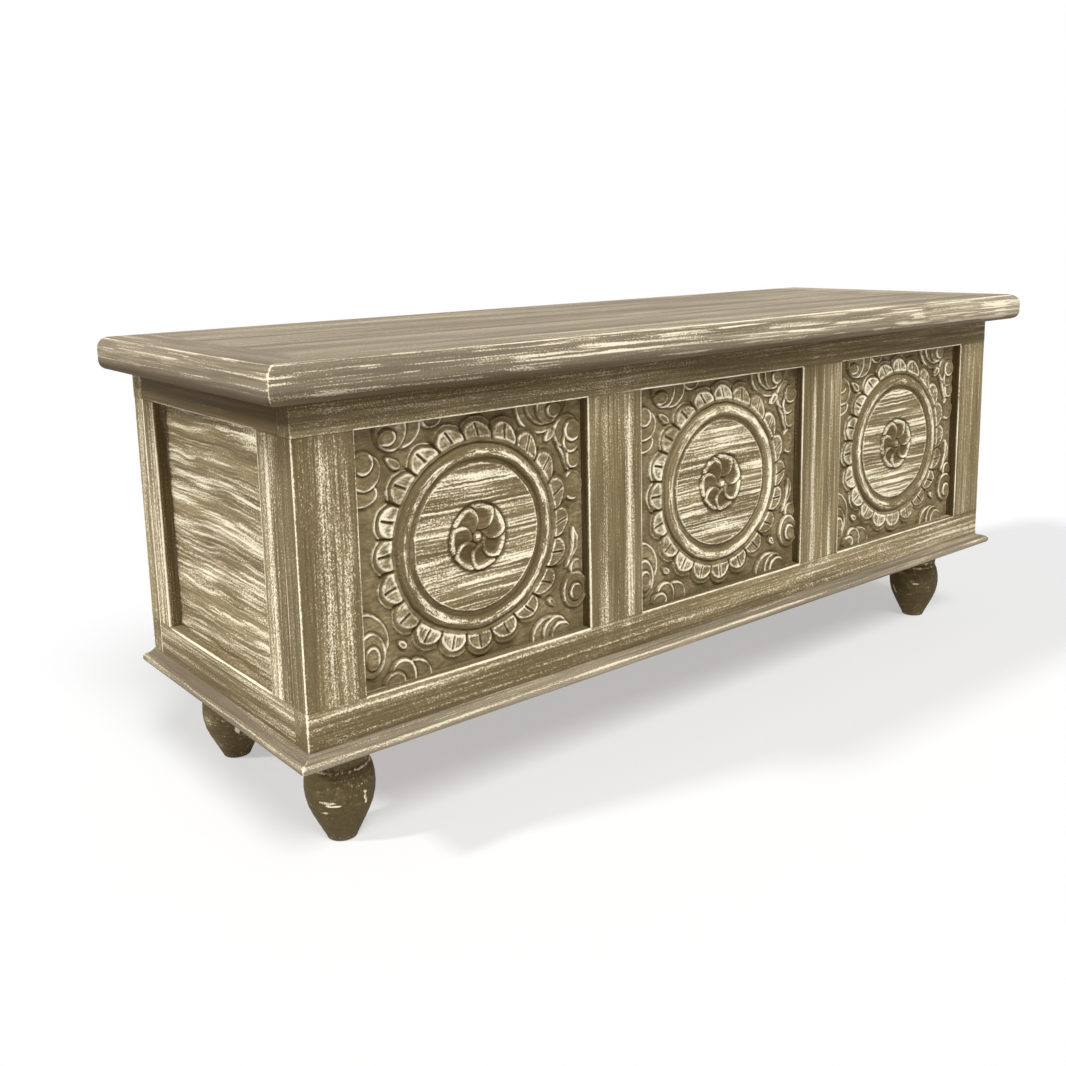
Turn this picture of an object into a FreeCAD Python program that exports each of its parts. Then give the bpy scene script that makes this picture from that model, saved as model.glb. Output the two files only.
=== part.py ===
import FreeCAD, Part
import Sketcher
import math
import os
import re

# A damchiya chest: a low storage chest of framed panels, standing on four turned feet.
# Three carved panels fill the front, a plain one each side and the back.
# The lid is planked, with a rounded edging on three sides, and hinges up at the back.
# The origin lies on the floor, under the middle of the whole chest.
# +X runs along the front towards the right, +Y from the front to the back, +Z up.

os.makedirs("parts", exist_ok=True)
doc = FreeCAD.newDocument("damchiya_chest")

# The sizes that can be set, in millimetres and degrees

SIZES = [
    # the case, and the boards of its frames
    ("case_length", 1080),
    ("case_depth", 358),
    ("case_height", 312),
    ("frame_thickness", 24),
    ("stile_width", 61),
    ("muntin_width", 75.5),
    ("top_rail_height", 32),
    ("bottom_rail_height", 36),
    ("side_front_stile_width", 42),
    ("side_back_stile_width", 26),
    # the panels, their tongues and the grooves that hold them
    ("panel_setback", 13),
    ("tongue_thickness", 6),
    ("tongue_length", 7),
    ("groove_depth", 8),
    ("tenon_length", 7.5),
    ("tenon_shoulder", 10),
    ("fit_gap", 0.2),
    # the carving of a front panel, in heights above its ground and radii from its middle
    ("lobe_reach", 119.5),
    ("lobe_radius", 17),
    ("lobe_rise", 4.5),
    ("lobe_count", 20),
    ("band_radius", 104),
    ("band_rise", 3.5),
    ("ring_radius", 90),
    ("ring_width", 12),
    ("ring_rise", 6.5),
    ("ring_round", 3),
    ("groove_width", 5),
    ("groove_sink", 2),
    ("rosette_radius", 35),
    ("rosette_line", 1.5),
    ("petal_rise", 5.5),
    ("petal_width", 15),
    ("petal_root", 7),
    ("petal_count", 7),
    ("boss_radius", 6),
    ("boss_rise", 6.2),
    # the base
    ("base_thickness", 13),
    ("moulding_projection", 14),
    ("moulding_hold", 16),
    ("nose_radius", 4.5),
    ("cove_radius", 12),
    # a turned foot, in heights above the floor
    ("foot_height", 110),
    ("foot_inset", 61),
    ("toe_radius", 15.5),
    ("toe_round", 3),
    ("taper_radius", 27.5),
    ("taper_height", 27),
    ("bulge_curve", 64),
    ("crease_radius", 31),
    ("crease_height", 76),
    ("collar_radius", 33),
    ("collar_height", 104),
    ("cove_curve", 36),
    ("foot_tenon_radius", 12),
    # the lid
    ("lid_gap", 0.6),
    ("lid_thickness", 34),
    ("lid_overhang", 34),
    ("edging_hold", 22),
    ("edging_top_round", 12),
    ("edging_bottom_round", 10),
    ("plank_thickness", 20),
    ("lid_back_rail_width", 40),
    ("batten_width", 60),
    # the two hinges
    ("hinge_inset", 170),
    ("hinge_length", 76),
    ("leaf_width", 20),
    ("leaf_thickness", 2),
    ("barrel_radius", 3.6),
    ("barrel_gap", 0.5),
    ("knuckle_gap", 0.3),
    ("pin_radius", 2),
    ("pin_head_radius", 3.2),
    ("pin_head_length", 1.2),
    ("running_gap", 0.05),
    # the screws of the hinges and the stay
    ("screw_length", 15),
    ("screw_radius", 1.6),
    ("screw_head_radius", 3.2),
    ("screw_gap", 0.1),
    ("screw_spacing", 27),
    ("screw_row", 12),
    # the lid stay on the right side
    ("stay_reach", 100),
    ("stay_dip", 7),
    ("stay_spread", 22),
    ("lid_opening", 95),
    ("arm_thickness", 2.5),
    ("arm_width", 16),
    ("arm_gap", 0.3),
    ("arm_tail", 11.5),
    ("slot_gap", 0.3),
    ("slot_end_gap", 0.5),
    ("stud_radius", 3),
    ("stud_head_radius", 6),
    ("stud_head_length", 1.5),
    ("pivot_radius", 3),
    ("pivot_head_radius", 4.5),
    ("pivot_head_length", 1),
    ("stay_plate_width", 12),
    ("stay_plate_rise", 44),
    ("stay_plate_tail", 10),
    ("bracket_length", 34),
    ("bracket_reach", 22),
    ("bracket_screw_inset", 6),
    # how far a cutting tool runs past the wood that it cuts
    ("overrun", 5),
]

# The places and sizes that follow from them, each from the ones above it

PLACES = [
    ("overall_depth", "lid_overhang + case_depth + barrel_gap + 2 * barrel_radius"),
    ("case_front", "lid_overhang - overall_depth / 2"),
    ("case_back", "case_front + case_depth"),
    ("case_left", "-case_length / 2"),
    ("case_right", "case_length / 2"),
    ("base_top", "foot_height + base_thickness"),
    ("case_top", "base_top + case_height"),
    ("opening_bottom", "base_top + bottom_rail_height"),
    ("opening_top", "case_top - top_rail_height"),
    ("opening_height", "opening_top - opening_bottom"),
    ("opening_width", "(case_length - 2 * stile_width - 2 * muntin_width) / 3"),
    ("opening_pitch", "opening_width + muntin_width"),
    ("side_front", "case_front + frame_thickness"),
    ("side_back", "case_back - frame_thickness"),
    ("side_length", "side_back - side_front"),
    ("side_opening", "side_length - side_front_stile_width - side_back_stile_width"),
    ("back_opening", "case_length - 2 * stile_width"),
    ("groove_width_in_frame", "tongue_thickness + 2 * fit_gap"),
    ("tenon_rise", "opening_height + 2 * tenon_length"),
    ("lid_under", "case_top + lid_gap"),
    ("lid_top", "lid_under + lid_thickness"),
    ("plank_under", "lid_top - plank_thickness"),
    ("edging_width", "lid_overhang + edging_hold"),
    ("planks_front", "case_front + edging_hold"),
    ("planks_back", "case_back - lid_back_rail_width"),
    ("plank_width", "(planks_back - planks_front) / 3"),
    ("plank_length", "case_length - 2 * edging_hold"),
    ("moulding_width", "moulding_projection + moulding_hold"),
    ("boards_front", "case_front + moulding_hold"),
    ("boards_depth", "case_back - boards_front"),
    ("board_width", "boards_depth / 3"),
    ("board_length", "case_length - 2 * moulding_hold"),
    ("foot_front", "case_front + foot_inset"),
    ("foot_back", "case_back - foot_inset"),
    ("foot_side", "case_length / 2 - foot_inset"),
    ("pin_back", "case_back + barrel_gap + barrel_radius"),
    ("pin_up", "case_top + lid_gap / 2"),
    ("hinge_side", "case_length / 2 - hinge_inset"),
    ("knuckle_length", "(hinge_length - 4 * knuckle_gap) / 5"),
    ("knuckle_pitch", "knuckle_length + knuckle_gap"),
    ("screw_line", "case_back - screw_row"),
    ("wall_inside", "case_length / 2 - frame_thickness"),
    ("plate_inside", "wall_inside - leaf_thickness"),
    ("arm_outside", "plate_inside - arm_gap"),
    ("arm_inside", "arm_outside - arm_thickness"),
    ("bracket_outside", "arm_inside - arm_gap"),
    ("bracket_inside", "bracket_outside - leaf_thickness"),
    ("stay_turn", "stay_dip + stay_spread / 2"),
    ("pivot_back", "pin_back - stay_reach * cos(stay_dip)"),
    ("pivot_up", "pin_up - stay_reach * sin(stay_dip)"),
    ("stud_back", "pin_back - stay_reach * cos(stay_dip + stay_spread)"),
    ("stud_up", "pin_up - stay_reach * sin(stay_dip + stay_spread)"),
    ("stud_near", "2 * stay_reach * sin(stay_spread / 2)"),
    ("stud_far", "2 * stay_reach * sin((stay_spread + lid_opening) / 2)"),
    ("slot_start", "stud_near - slot_end_gap"),
    ("slot_end", "stud_far + slot_end_gap"),
]

dims = doc.addObject("Spreadsheet::Sheet", "dims")
for row, (name, number) in enumerate(SIZES, 1):
    dims.set(f"A{row}", name)
    dims.set(f"B{row}", str(number))
    dims.setAlias(f"B{row}", name)
for row, (name, formula) in enumerate(PLACES, len(SIZES) + 1):
    dims.set(f"A{row}", name)
    dims.set(f"B{row}", "=" + formula)
    dims.setAlias(f"B{row}", name)
figures = doc.addObject("Spreadsheet::Sheet", "figures")
doc.recompute()

KNOWN = {name for name, _ in SIZES + PLACES}
PLACE_PATHS = ("Placement.Base.x", "Placement.Base.y", "Placement.Base.z")
nodes = []
worked_out = {}


def linked(formula):
    """The formula with each named size read from the sheet."""
    return re.sub("[a-z_]+", lambda word: f"dims.{word[0]}" if word[0] in KNOWN else word[0], formula)


def bind(thing, settings):
    """Binds each property of a thing to its formula."""
    for path, formula in settings.items():
        thing.setExpression(path, linked(formula))
    return thing


def value(formula):
    """What a formula comes to now. A second sheet works it out, so that the first stays as it is."""
    if formula not in worked_out:
        cell = f"A{len(worked_out) + 1}"
        figures.set(cell, "=" + linked(formula))
        figures.recompute()
        worked_out[formula] = float(figures.get(cell))
    return worked_out[formula]


def put(thing, place):
    """Binds the three coordinates of a thing's place."""
    return bind(thing, dict(zip(PLACE_PATHS, place)))


def turn(thing, axis, degrees):
    """Turns a thing about one of the frame's axes by a fixed angle."""
    thing.Placement = FreeCAD.Placement(FreeCAD.Vector(), FreeCAD.Rotation(FreeCAD.Vector(*axis), degrees))
    return thing


def box(name, place, size):
    """A plain board: its low corner, then its size along X, Y and Z."""
    made = doc.addObject("Part::Box", name)
    bind(made, dict(zip(("Length", "Width", "Height"), size)))
    return put(made, place)


def rod(name, place, radius, length, axis=(0, 1, 0), degrees=0):
    """A round bar that stands on its place, turned from +Z about an axis."""
    made = turn(doc.addObject("Part::Cylinder", name), axis, degrees)
    bind(made, {"Radius": radius, "Height": length})
    return put(made, place)


def rod_along_x(name, place, radius, length):
    """A round bar that runs from its place towards +X."""
    return rod(name, place, radius, length, (0, 1, 0), 90)


def fused(name, pieces):
    """Several shapes as one solid."""
    made = doc.addObject("Part::MultiFuse", name)
    made.Shapes = pieces
    made.Refine = True
    return made


def less(name, wood, tools):
    """A shape with the tools cut out of it."""
    made = doc.addObject("Part::Cut", name)
    made.Base = wood
    made.Tool = tools[0] if len(tools) == 1 else fused(name + "_tools", tools)
    made.Refine = True
    return made


def node(label, thing):
    """Takes a thing as a finished piece. Its label names its file."""
    thing.Label = label
    nodes.append(thing)
    return thing


# Bodies with sketches

def body(name):
    return doc.addObject("PartDesign::Body", name)


def sketch_on(owner, name, role, offset="0"):
    """A sketch on one of its body's own planes, or beside it by an offset along its normal."""
    sketch = owner.newObject("Sketcher::SketchObject", name)
    planes = [item for item in owner.Origin.OriginFeatures if item.Role == role]
    sketch.AttachmentSupport = (planes[0], [""])
    sketch.MapMode = "FlatFace"
    if offset != "0":
        bind(sketch, {"AttachmentOffset.Base.z": offset})
    return sketch


def hold(sketch, kind, geometry, end, formula):
    """Fixes one coordinate of a point of the sketch to a formula."""
    origin_axis = {"DistanceX": -2, "DistanceY": -1}[kind]
    number = value(formula)
    if round(number, 6) == 0:
        sketch.addConstraint(Sketcher.Constraint("PointOnObject", geometry, end, origin_axis))
        return
    if number > 0:
        index = sketch.addConstraint(Sketcher.Constraint(kind, -1, 1, geometry, end, number))
        sketch.setExpression(f"Constraints[{index}]", linked(formula))
    else:
        index = sketch.addConstraint(Sketcher.Constraint(kind, geometry, end, -1, 1, -number))
        sketch.setExpression(f"Constraints[{index}]", linked(f"-({formula})"))


def arc_between(start, finish, radius, side):
    """The arc from start to finish whose centre lies to the left (side 1) or right (side -1)."""
    chord = finish - start
    height = math.sqrt(radius ** 2 - (chord.Length / 2) ** 2)
    left = FreeCAD.Vector(-chord.y, chord.x, 0).normalize()
    centre = (start + finish) / 2 + left * (side * height)
    first, last = (start, finish) if side > 0 else (finish, start)
    angles = [math.atan2(point.y - centre.y, point.x - centre.x) for point in (first, last)]
    return Part.ArcOfCircle(Part.Circle(centre, FreeCAD.Vector(0, 0, 1), radius), *angles)


def outline(sketch, corners):
    """A closed outline. A corner is its two coordinates, then the arc that leaves it or None.

    The arc to the next corner is its radius and the side that its centre lies on.
    """
    points = [FreeCAD.Vector(value(across), value(up), 0) for across, up, _ in corners]
    ends = []
    for place, (_, _, arc) in enumerate(corners):
        start, finish = points[place], points[(place + 1) % len(corners)]
        if arc is None:
            geometry = sketch.addGeometry(Part.LineSegment(start, finish))
            ends.append((geometry, 1, 2))
        else:
            radius, side = arc
            geometry = sketch.addGeometry(arc_between(start, finish, value(radius), side))
            ends.append((geometry, 1, 2) if side > 0 else (geometry, 2, 1))
    for place, (across, up, arc) in enumerate(corners):
        geometry, first, last = ends[place]
        following, following_first, _ = ends[(place + 1) % len(corners)]
        sketch.addConstraint(Sketcher.Constraint("Coincident", geometry, last, following, following_first))
        hold(sketch, "DistanceX", geometry, first, across)
        hold(sketch, "DistanceY", geometry, first, up)
        if arc is not None:
            index = sketch.addConstraint(Sketcher.Constraint("Radius", geometry, value(arc[0])))
            sketch.setExpression(f"Constraints[{index}]", linked(arc[0]))
    return sketch


def rectangle(sketch, left, low, right, high):
    """An upright rectangle between two opposite corners."""
    return outline(sketch, [(left, low, None), (right, low, None), (right, high, None), (left, high, None)])


def circle(sketch, across, up, radius):
    """A circle at a place of the sketch."""
    centre = FreeCAD.Vector(value(across), value(up), 0)
    round_edge = Part.Circle(centre, FreeCAD.Vector(0, 0, 1), value(radius))
    geometry = sketch.addGeometry(round_edge)
    index = sketch.addConstraint(Sketcher.Constraint("Radius", geometry, value(radius)))
    sketch.setExpression(f"Constraints[{index}]", linked(radius))
    hold(sketch, "DistanceX", geometry, 3, across)
    hold(sketch, "DistanceY", geometry, 3, up)
    return sketch


def pad(owner, name, sketch, length, away=False, both_ways=False):
    """Adds the sketch's outline as solid, along its normal or away from it."""
    made = owner.newObject("PartDesign::Pad", name)
    made.Profile = sketch
    made.Reversed = away
    made.SideType = "Symmetric" if both_ways else "One side"
    return bind(made, {"Length": length})


def pocket(owner, name, sketch, length, away=False):
    """Cuts the sketch's outline out of the solid, and makes sure that it really cuts."""
    doc.recompute()
    before = owner.Shape.Volume
    made = owner.newObject("PartDesign::Pocket", name)
    made.Profile = sketch
    made.Reversed = away
    bind(made, {"Length": length})
    doc.recompute()
    if made.Shape.isNull() or not made.Shape.Volume < before:
        raise RuntimeError(f"{name} cuts nothing")
    return made


def turned(owner, name, sketch):
    """Adds the solid that the sketch's outline sweeps in a full turn about its upright axis."""
    made = owner.newObject("PartDesign::Revolution", name)
    made.Profile = sketch
    made.ReferenceAxis = (sketch, ["V_Axis"])
    made.Angle = 360
    return made


def around(owner, name, feature, sketch, count):
    """Repeats a feature round the middle of its sketch."""
    made = owner.newObject("PartDesign::PolarPattern", name)
    made.Originals = [feature]
    made.Axis = (sketch, ["N_Axis"])
    made.Angle = 360
    bind(made, {"Occurrences": count})
    owner.Tip = made
    return made


def edges_where(shape, test):
    """The names of the edges whose every corner passes the test."""
    return [
        f"Edge{number}"
        for number, edge in enumerate(shape.Edges, 1)
        if all(test(corner.Point) for corner in edge.Vertexes)
    ]


def rounded(owner, name, feature, test, radius):
    """Rounds the edges of a feature that pass the test."""
    doc.recompute()
    made = owner.newObject("PartDesign::Fillet", name)
    made.Base = (feature, edges_where(feature.Shape, test))
    return bind(made, {"Radius": radius})


def near(number, formula):
    """Whether a coordinate is where the formula says."""
    return abs(number - value(formula)) < value("fit_gap") / 2


# The front frame: two rails run the full length, with stiles and muntins between them.
# The rails are grooved for the panels, and the uprights stand in the same grooves on tenons.

def rail(label, low, groove_low, face, groove_front, height, extra_tools=()):
    """A full-length rail. Its groove stops short of its ends, under the end uprights' shoulders."""
    wood = box(label + "_wood", ("case_left", face, low), ("case_length", "frame_thickness", height))
    groove = box(
        label + "_groove",
        ("case_left + tenon_shoulder - fit_gap", groove_front, groove_low),
        ("case_length - 2 * tenon_shoulder + 2 * fit_gap", "groove_width_in_frame", "groove_depth"),
    )
    return node(label, less(label + "_grooved", wood, [groove, *extra_tools]))


def upright(label, left, width, face, tongue_front, grooves):
    """A stile or muntin with a tenon at each end, and a groove for a panel on each open edge."""
    wood = box(label + "_wood", (left, face, "opening_bottom"), (width, "frame_thickness", "opening_height"))
    tenon = box(
        label + "_tenon",
        (f"{left} + tenon_shoulder", tongue_front, "opening_bottom - tenon_length"),
        (f"{width} - 2 * tenon_shoulder", "tongue_thickness", "tenon_rise"),
    )
    edges = {"left": left, "right": f"{left} + {width} - groove_depth"}
    tools = [
        box(
            f"{label}_{edge}_groove",
            (edges[edge], f"{tongue_front} - fit_gap", "opening_bottom"),
            ("groove_depth", "groove_width_in_frame", "opening_height"),
        )
        for edge in grooves
    ]
    return node(label, less(label + "_grooved", fused(label + "_blank", [wood, tenon]), tools))


FRONT_TONGUE = "case_front + panel_setback"
BACK_TONGUE = "case_back - panel_setback - tongue_thickness"

rail(
    "front_top_rail", "opening_top", "opening_top", "case_front",
    f"{FRONT_TONGUE} - fit_gap", "top_rail_height",
)
rail(
    "front_bottom_rail", "base_top", "opening_bottom - groove_depth", "case_front",
    f"{FRONT_TONGUE} - fit_gap", "bottom_rail_height",
)
upright("front_left_stile", "case_left", "stile_width", "case_front", FRONT_TONGUE, ["right"])
upright(
    "front_left_muntin", "case_left + stile_width + opening_width", "muntin_width",
    "case_front", FRONT_TONGUE, ["left", "right"],
)
upright(
    "front_right_muntin", "case_right - stile_width - opening_width - muntin_width", "muntin_width",
    "case_front", FRONT_TONGUE, ["left", "right"],
)
upright("front_right_stile", "case_right - stile_width", "stile_width", "case_front", FRONT_TONGUE, ["left"])


# A carved front panel. Its own frame has the panel's middle at the origin and its ground at Y = 0.

def petal(sketch):
    """A petal: two arcs from near the boss to the rosette's outline, both bent the same way."""
    tip = "rosette_radius - rosette_line"
    root_low = ("petal_root", "-petal_width / 4")
    tip_low = (tip, "-petal_width / 2")
    tip_high = (tip, "petal_width / 3")
    root_high = ("petal_root", "petal_width / 4")
    return outline(sketch, [
        (*root_low, ("rosette_radius", 1)),
        (*tip_low, None),
        (*tip_high, ("rosette_radius", -1)),
        (*root_high, None),
    ])


def carved_panel(label, middle):
    """A tongued board with its medallion: scallops, band, ring, disc and rosette in relief."""
    panel = body(label + "_board")
    put(panel, (middle, FRONT_TONGUE, "(opening_bottom + opening_top) / 2"))
    board = rectangle(
        sketch_on(panel, label + "_board_outline", "XZ_Plane"),
        "-opening_width / 2 - tongue_length", "-opening_height / 2 - tongue_length",
        "opening_width / 2 + tongue_length", "opening_height / 2 + tongue_length",
    )
    pad(panel, label + "_tongued_board", board, "tongue_thickness", away=True)
    band = circle(sketch_on(panel, label + "_band_outline", "XZ_Plane"), "0", "0", "band_radius")
    pad(panel, label + "_band", band, "band_rise")
    lobe = circle(
        sketch_on(panel, label + "_lobe_outline", "XZ_Plane"), "lobe_reach - lobe_radius", "0", "lobe_radius",
    )
    one_lobe = pad(panel, label + "_lobe", lobe, "lobe_rise")
    doc.recompute()
    around(panel, label + "_scallops", one_lobe, lobe, "lobe_count")
    ring_section = outline(sketch_on(panel, label + "_ring_section", "XY_Plane"), [
        ("ring_radius - ring_width", "0", None),
        ("ring_radius - ring_width", "ring_round - ring_rise", ("ring_round", 1)),
        ("ring_radius - ring_width + ring_round", "-ring_rise", None),
        ("ring_radius - ring_round", "-ring_rise", ("ring_round", 1)),
        ("ring_radius", "ring_round - ring_rise", None),
        ("ring_radius", "0", None),
    ])
    turned(panel, label + "_ring", ring_section)
    trench = sketch_on(panel, label + "_trench_outline", "XZ_Plane", "band_rise")
    circle(trench, "0", "0", "ring_radius - ring_width")
    circle(trench, "0", "0", "ring_radius - ring_width - groove_width")
    pocket(panel, label + "_trench", trench, "groove_sink")
    line = sketch_on(panel, label + "_rosette_outline", "XZ_Plane", "band_rise")
    circle(line, "0", "0", "rosette_radius")
    circle(line, "0", "0", "rosette_radius - rosette_line")
    pocket(panel, label + "_rosette_line", line, "rosette_line")
    leaf = petal(sketch_on(panel, label + "_petal_outline", "XZ_Plane"))
    one_petal = pad(panel, label + "_petal", leaf, "petal_rise")
    doc.recompute()
    around(panel, label + "_petals", one_petal, leaf, "petal_count")
    boss = circle(sketch_on(panel, label + "_boss_outline", "XZ_Plane"), "0", "0", "boss_radius")
    pad(panel, label + "_boss", boss, "boss_rise")
    return node(label, panel)


carved_panel("front_left_panel", "-opening_pitch")
carved_panel("front_middle_panel", "0")
carved_panel("front_right_panel", "opening_pitch")


# Screws. A screw's own frame has the middle of its flat head at the origin and its point down -Z.

TURNS = {"down": ((1, 0, 0), 0), "up": ((1, 0, 0), 180), "outward": ((0, 1, 0), -90)}
SCREW_SIZES = ("screw_radius", "screw_head_radius", "screw_length")
SCREW_ROOM = ("screw_radius + screw_gap", "screw_head_radius + screw_gap", "screw_length + screw_gap")


def screw_form(name, place, direction, sizes):
    """A flat-headed screw, or the room for one: a countersunk head as deep as a leaf, and a shank."""
    radius, head_radius, length = sizes
    head = doc.addObject("Part::Cone", name + "_head")
    bind(head, {"Radius1": radius, "Radius2": head_radius, "Height": "leaf_thickness"})
    put(head, ("0", "0", "-leaf_thickness"))
    shank = rod(name + "_shank", ("0", "0", f"-({length})"), radius, length)
    return put(turn(fused(name, [head, shank]), *TURNS[direction]), place)


def screw_set(label, places, direction):
    """A group of separate screws in one node."""
    group = doc.addObject("Part::Compound", label + "_group")
    group.Links = [
        screw_form(f"{label}_{number}", place, direction, SCREW_SIZES)
        for number, place in enumerate(places, 1)
    ]
    return node(label, group)


def screw_rooms(name, places, direction):
    """The holes for a group of screws, one tool each."""
    return [
        screw_form(f"{name}_room_{number}", place, direction, SCREW_ROOM)
        for number, place in enumerate(places, 1)
    ]


# The two sides: a short frame between the front frame and the back frame, round a plain panel

stay_screws = [
    ("plate_inside", "stud_back", f"stud_up + stay_plate_rise - {inset}")
    for inset in ("stay_plate_width / 2", "4 * stay_plate_width / 3")
]


def side_frame(side, wall, tongue_left, rail_screws=()):
    """One side of the case. The wall is its low X, and its tongue's low X lies in from the outside."""
    groove_left = f"{tongue_left} - fit_gap"
    opening_front = "side_front + side_front_stile_width"
    for name, low, height, groove_low in (
        ("top_rail", "opening_top", "top_rail_height", "opening_top"),
        ("bottom_rail", "base_top", "bottom_rail_height", "opening_bottom - groove_depth"),
    ):
        label = f"{side}_side_{name}"
        wood = box(label + "_wood", (wall, "side_front", low), ("frame_thickness", "side_length", height))
        groove = box(
            label + "_groove",
            (groove_left, "side_front + tenon_shoulder - fit_gap", groove_low),
            ("groove_width_in_frame", "side_length - 2 * tenon_shoulder + 2 * fit_gap", "groove_depth"),
        )
        rooms = screw_rooms(label, rail_screws, "outward") if name == "top_rail" else []
        node(label, less(label + "_grooved", wood, [groove, *rooms]))
    for name, front, width, groove_front in (
        ("front_stile", "side_front", "side_front_stile_width", f"{opening_front} - groove_depth"),
        ("back_stile", "side_back - side_back_stile_width", "side_back_stile_width",
         "side_back - side_back_stile_width"),
    ):
        label = f"{side}_side_{name}"
        wood = box(
            label + "_wood", (wall, front, "opening_bottom"), ("frame_thickness", width, "opening_height"),
        )
        tenon = box(
            label + "_tenon",
            (tongue_left, f"{front} + tenon_shoulder", "opening_bottom - tenon_length"),
            ("tongue_thickness", f"{width} - 2 * tenon_shoulder", "tenon_rise"),
        )
        groove = box(
            label + "_groove",
            (groove_left, groove_front, "opening_bottom"),
            ("groove_width_in_frame", "groove_depth", "opening_height"),
        )
        node(label, less(label + "_grooved", fused(label + "_blank", [wood, tenon]), [groove]))
    node(f"{side}_side_panel", box(
        f"{side}_side_panel_board",
        (tongue_left, f"{opening_front} - tongue_length", "opening_bottom - tongue_length"),
        ("tongue_thickness", "side_opening + 2 * tongue_length", "opening_height + 2 * tongue_length"),
    ))


side_frame("left", "case_left", "case_left + panel_setback")
side_frame(
    "right", "case_right - frame_thickness", "case_right - panel_setback - tongue_thickness", stay_screws,
)


def hinge_screw_places(middle, up):
    """Three screws along a hinge leaf."""
    return [(f"{middle} + {step} * screw_spacing", "screw_line", up) for step in (-1, 0, 1)]


HINGES = {"left": "-hinge_side", "right": "hinge_side"}
case_screws = [place for middle in HINGES.values() for place in hinge_screw_places(middle, "case_top")]
lid_screws = [place for middle in HINGES.values() for place in hinge_screw_places(middle, "lid_under")]


def mortises(name, low):
    """The shallow beds that the hinge leaves lie in, one tool each."""
    return [
        box(
            f"{name}_{side}_mortise",
            (f"{middle} - hinge_length / 2 - fit_gap", "case_back - leaf_width - fit_gap", low),
            ("hinge_length + 2 * fit_gap", "leaf_width + fit_gap + overrun", "leaf_thickness"),
        )
        for side, middle in HINGES.items()
    ]


# The back frame, with the mortises of the hinges in its top rail

rail(
    "back_top_rail", "opening_top", "opening_top", "case_back - frame_thickness",
    f"{BACK_TONGUE} - fit_gap", "top_rail_height",
    [*mortises("case", "case_top - leaf_thickness"), *screw_rooms("case_rail", case_screws, "down")],
)
rail(
    "back_bottom_rail", "base_top", "opening_bottom - groove_depth", "case_back - frame_thickness",
    f"{BACK_TONGUE} - fit_gap", "bottom_rail_height",
)
upright("back_left_stile", "case_left", "stile_width", "case_back - frame_thickness", BACK_TONGUE, ["right"])
upright(
    "back_right_stile", "case_right - stile_width", "stile_width", "case_back - frame_thickness",
    BACK_TONGUE, ["left"],
)
node("back_panel", box(
    "back_panel_board",
    ("case_left + stile_width - tongue_length", BACK_TONGUE, "opening_bottom - tongue_length"),
    ("back_opening + 2 * tongue_length", "tongue_thickness", "opening_height + 2 * tongue_length"),
))


# Strips that run round three sides, mitred at the two front corners

MITRES = {"front": {"left": 45, "right": 45}, "side": {"left": -45, "right": 135}}


def mitre_tool(name, strip, side, reach, width, low, height):
    """A block whose one face stands on the mitre through a front corner, to cut off a strip's end."""
    across = f"case_left - {reach} - overrun" if side == "left" else f"case_right + {reach} + overrun"
    made = turn(doc.addObject("Part::Box", name), (0, 0, 1), MITRES[strip][side])
    bind(made, {
        "Length": f"2 * ({width} + overrun)",
        "Width": f"2 * ({width} + overrun)",
        "Height": f"{height} + 2 * overrun",
    })
    return put(made, (across, f"case_front - {reach} - overrun", f"{low} - overrun"))


def moulding_outline(sketch, direction):
    """The base moulding's section: a rounded nose under a hollow that rises to the case."""
    nose = "moulding_projection - nose_radius"
    shape = [
        ("-moulding_hold", "0", None),
        (nose, "0", ("nose_radius", 1)),
        ("moulding_projection", "nose_radius", ("nose_radius", 1)),
        (nose, "2 * nose_radius", ("cove_radius", -1)),
        ("0", "base_thickness", None),
        ("-moulding_hold", "base_thickness", None),
    ]
    if direction > 0:
        return outline(sketch, shape)
    mirrored = []
    for place in range(len(shape) - 1, -1, -1):
        across, up, _ = shape[place]
        arc = shape[place - 1][2]
        mirrored.append((f"-({across})", up, arc))
    return outline(sketch, mirrored)


def front_moulding():
    strip = body("base_moulding_front_strip")
    put(strip, ("0", "case_front", "foot_height"))
    section = moulding_outline(sketch_on(strip, "base_moulding_front_section", "YZ_Plane"), -1)
    pad(strip, "base_moulding_front_length", section, "case_length + 2 * moulding_projection", both_ways=True)
    tools = [
        mitre_tool(
            f"base_moulding_front_{side}_mitre", "front", side,
            "moulding_projection", "moulding_width", "foot_height", "base_thickness",
        )
        for side in ("left", "right")
    ]
    node("base_moulding_front", less("base_moulding_front_cut", strip, tools))


def side_moulding(side, place, direction):
    label = f"base_moulding_{side}"
    strip = body(label + "_strip")
    put(strip, (place, "case_back", "foot_height"))
    section = moulding_outline(sketch_on(strip, label + "_section", "XZ_Plane"), direction)
    pad(strip, label + "_length", section, "case_depth + moulding_projection")
    tool = mitre_tool(
        label + "_mitre", "side", side, "moulding_projection", "moulding_width",
        "foot_height", "base_thickness",
    )
    node(label, less(label + "_cut", strip, [tool]))


front_moulding()
side_moulding("left", "case_left", -1)
side_moulding("right", "case_right", 1)


# The feet, and the bottom boards that they stand in

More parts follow.
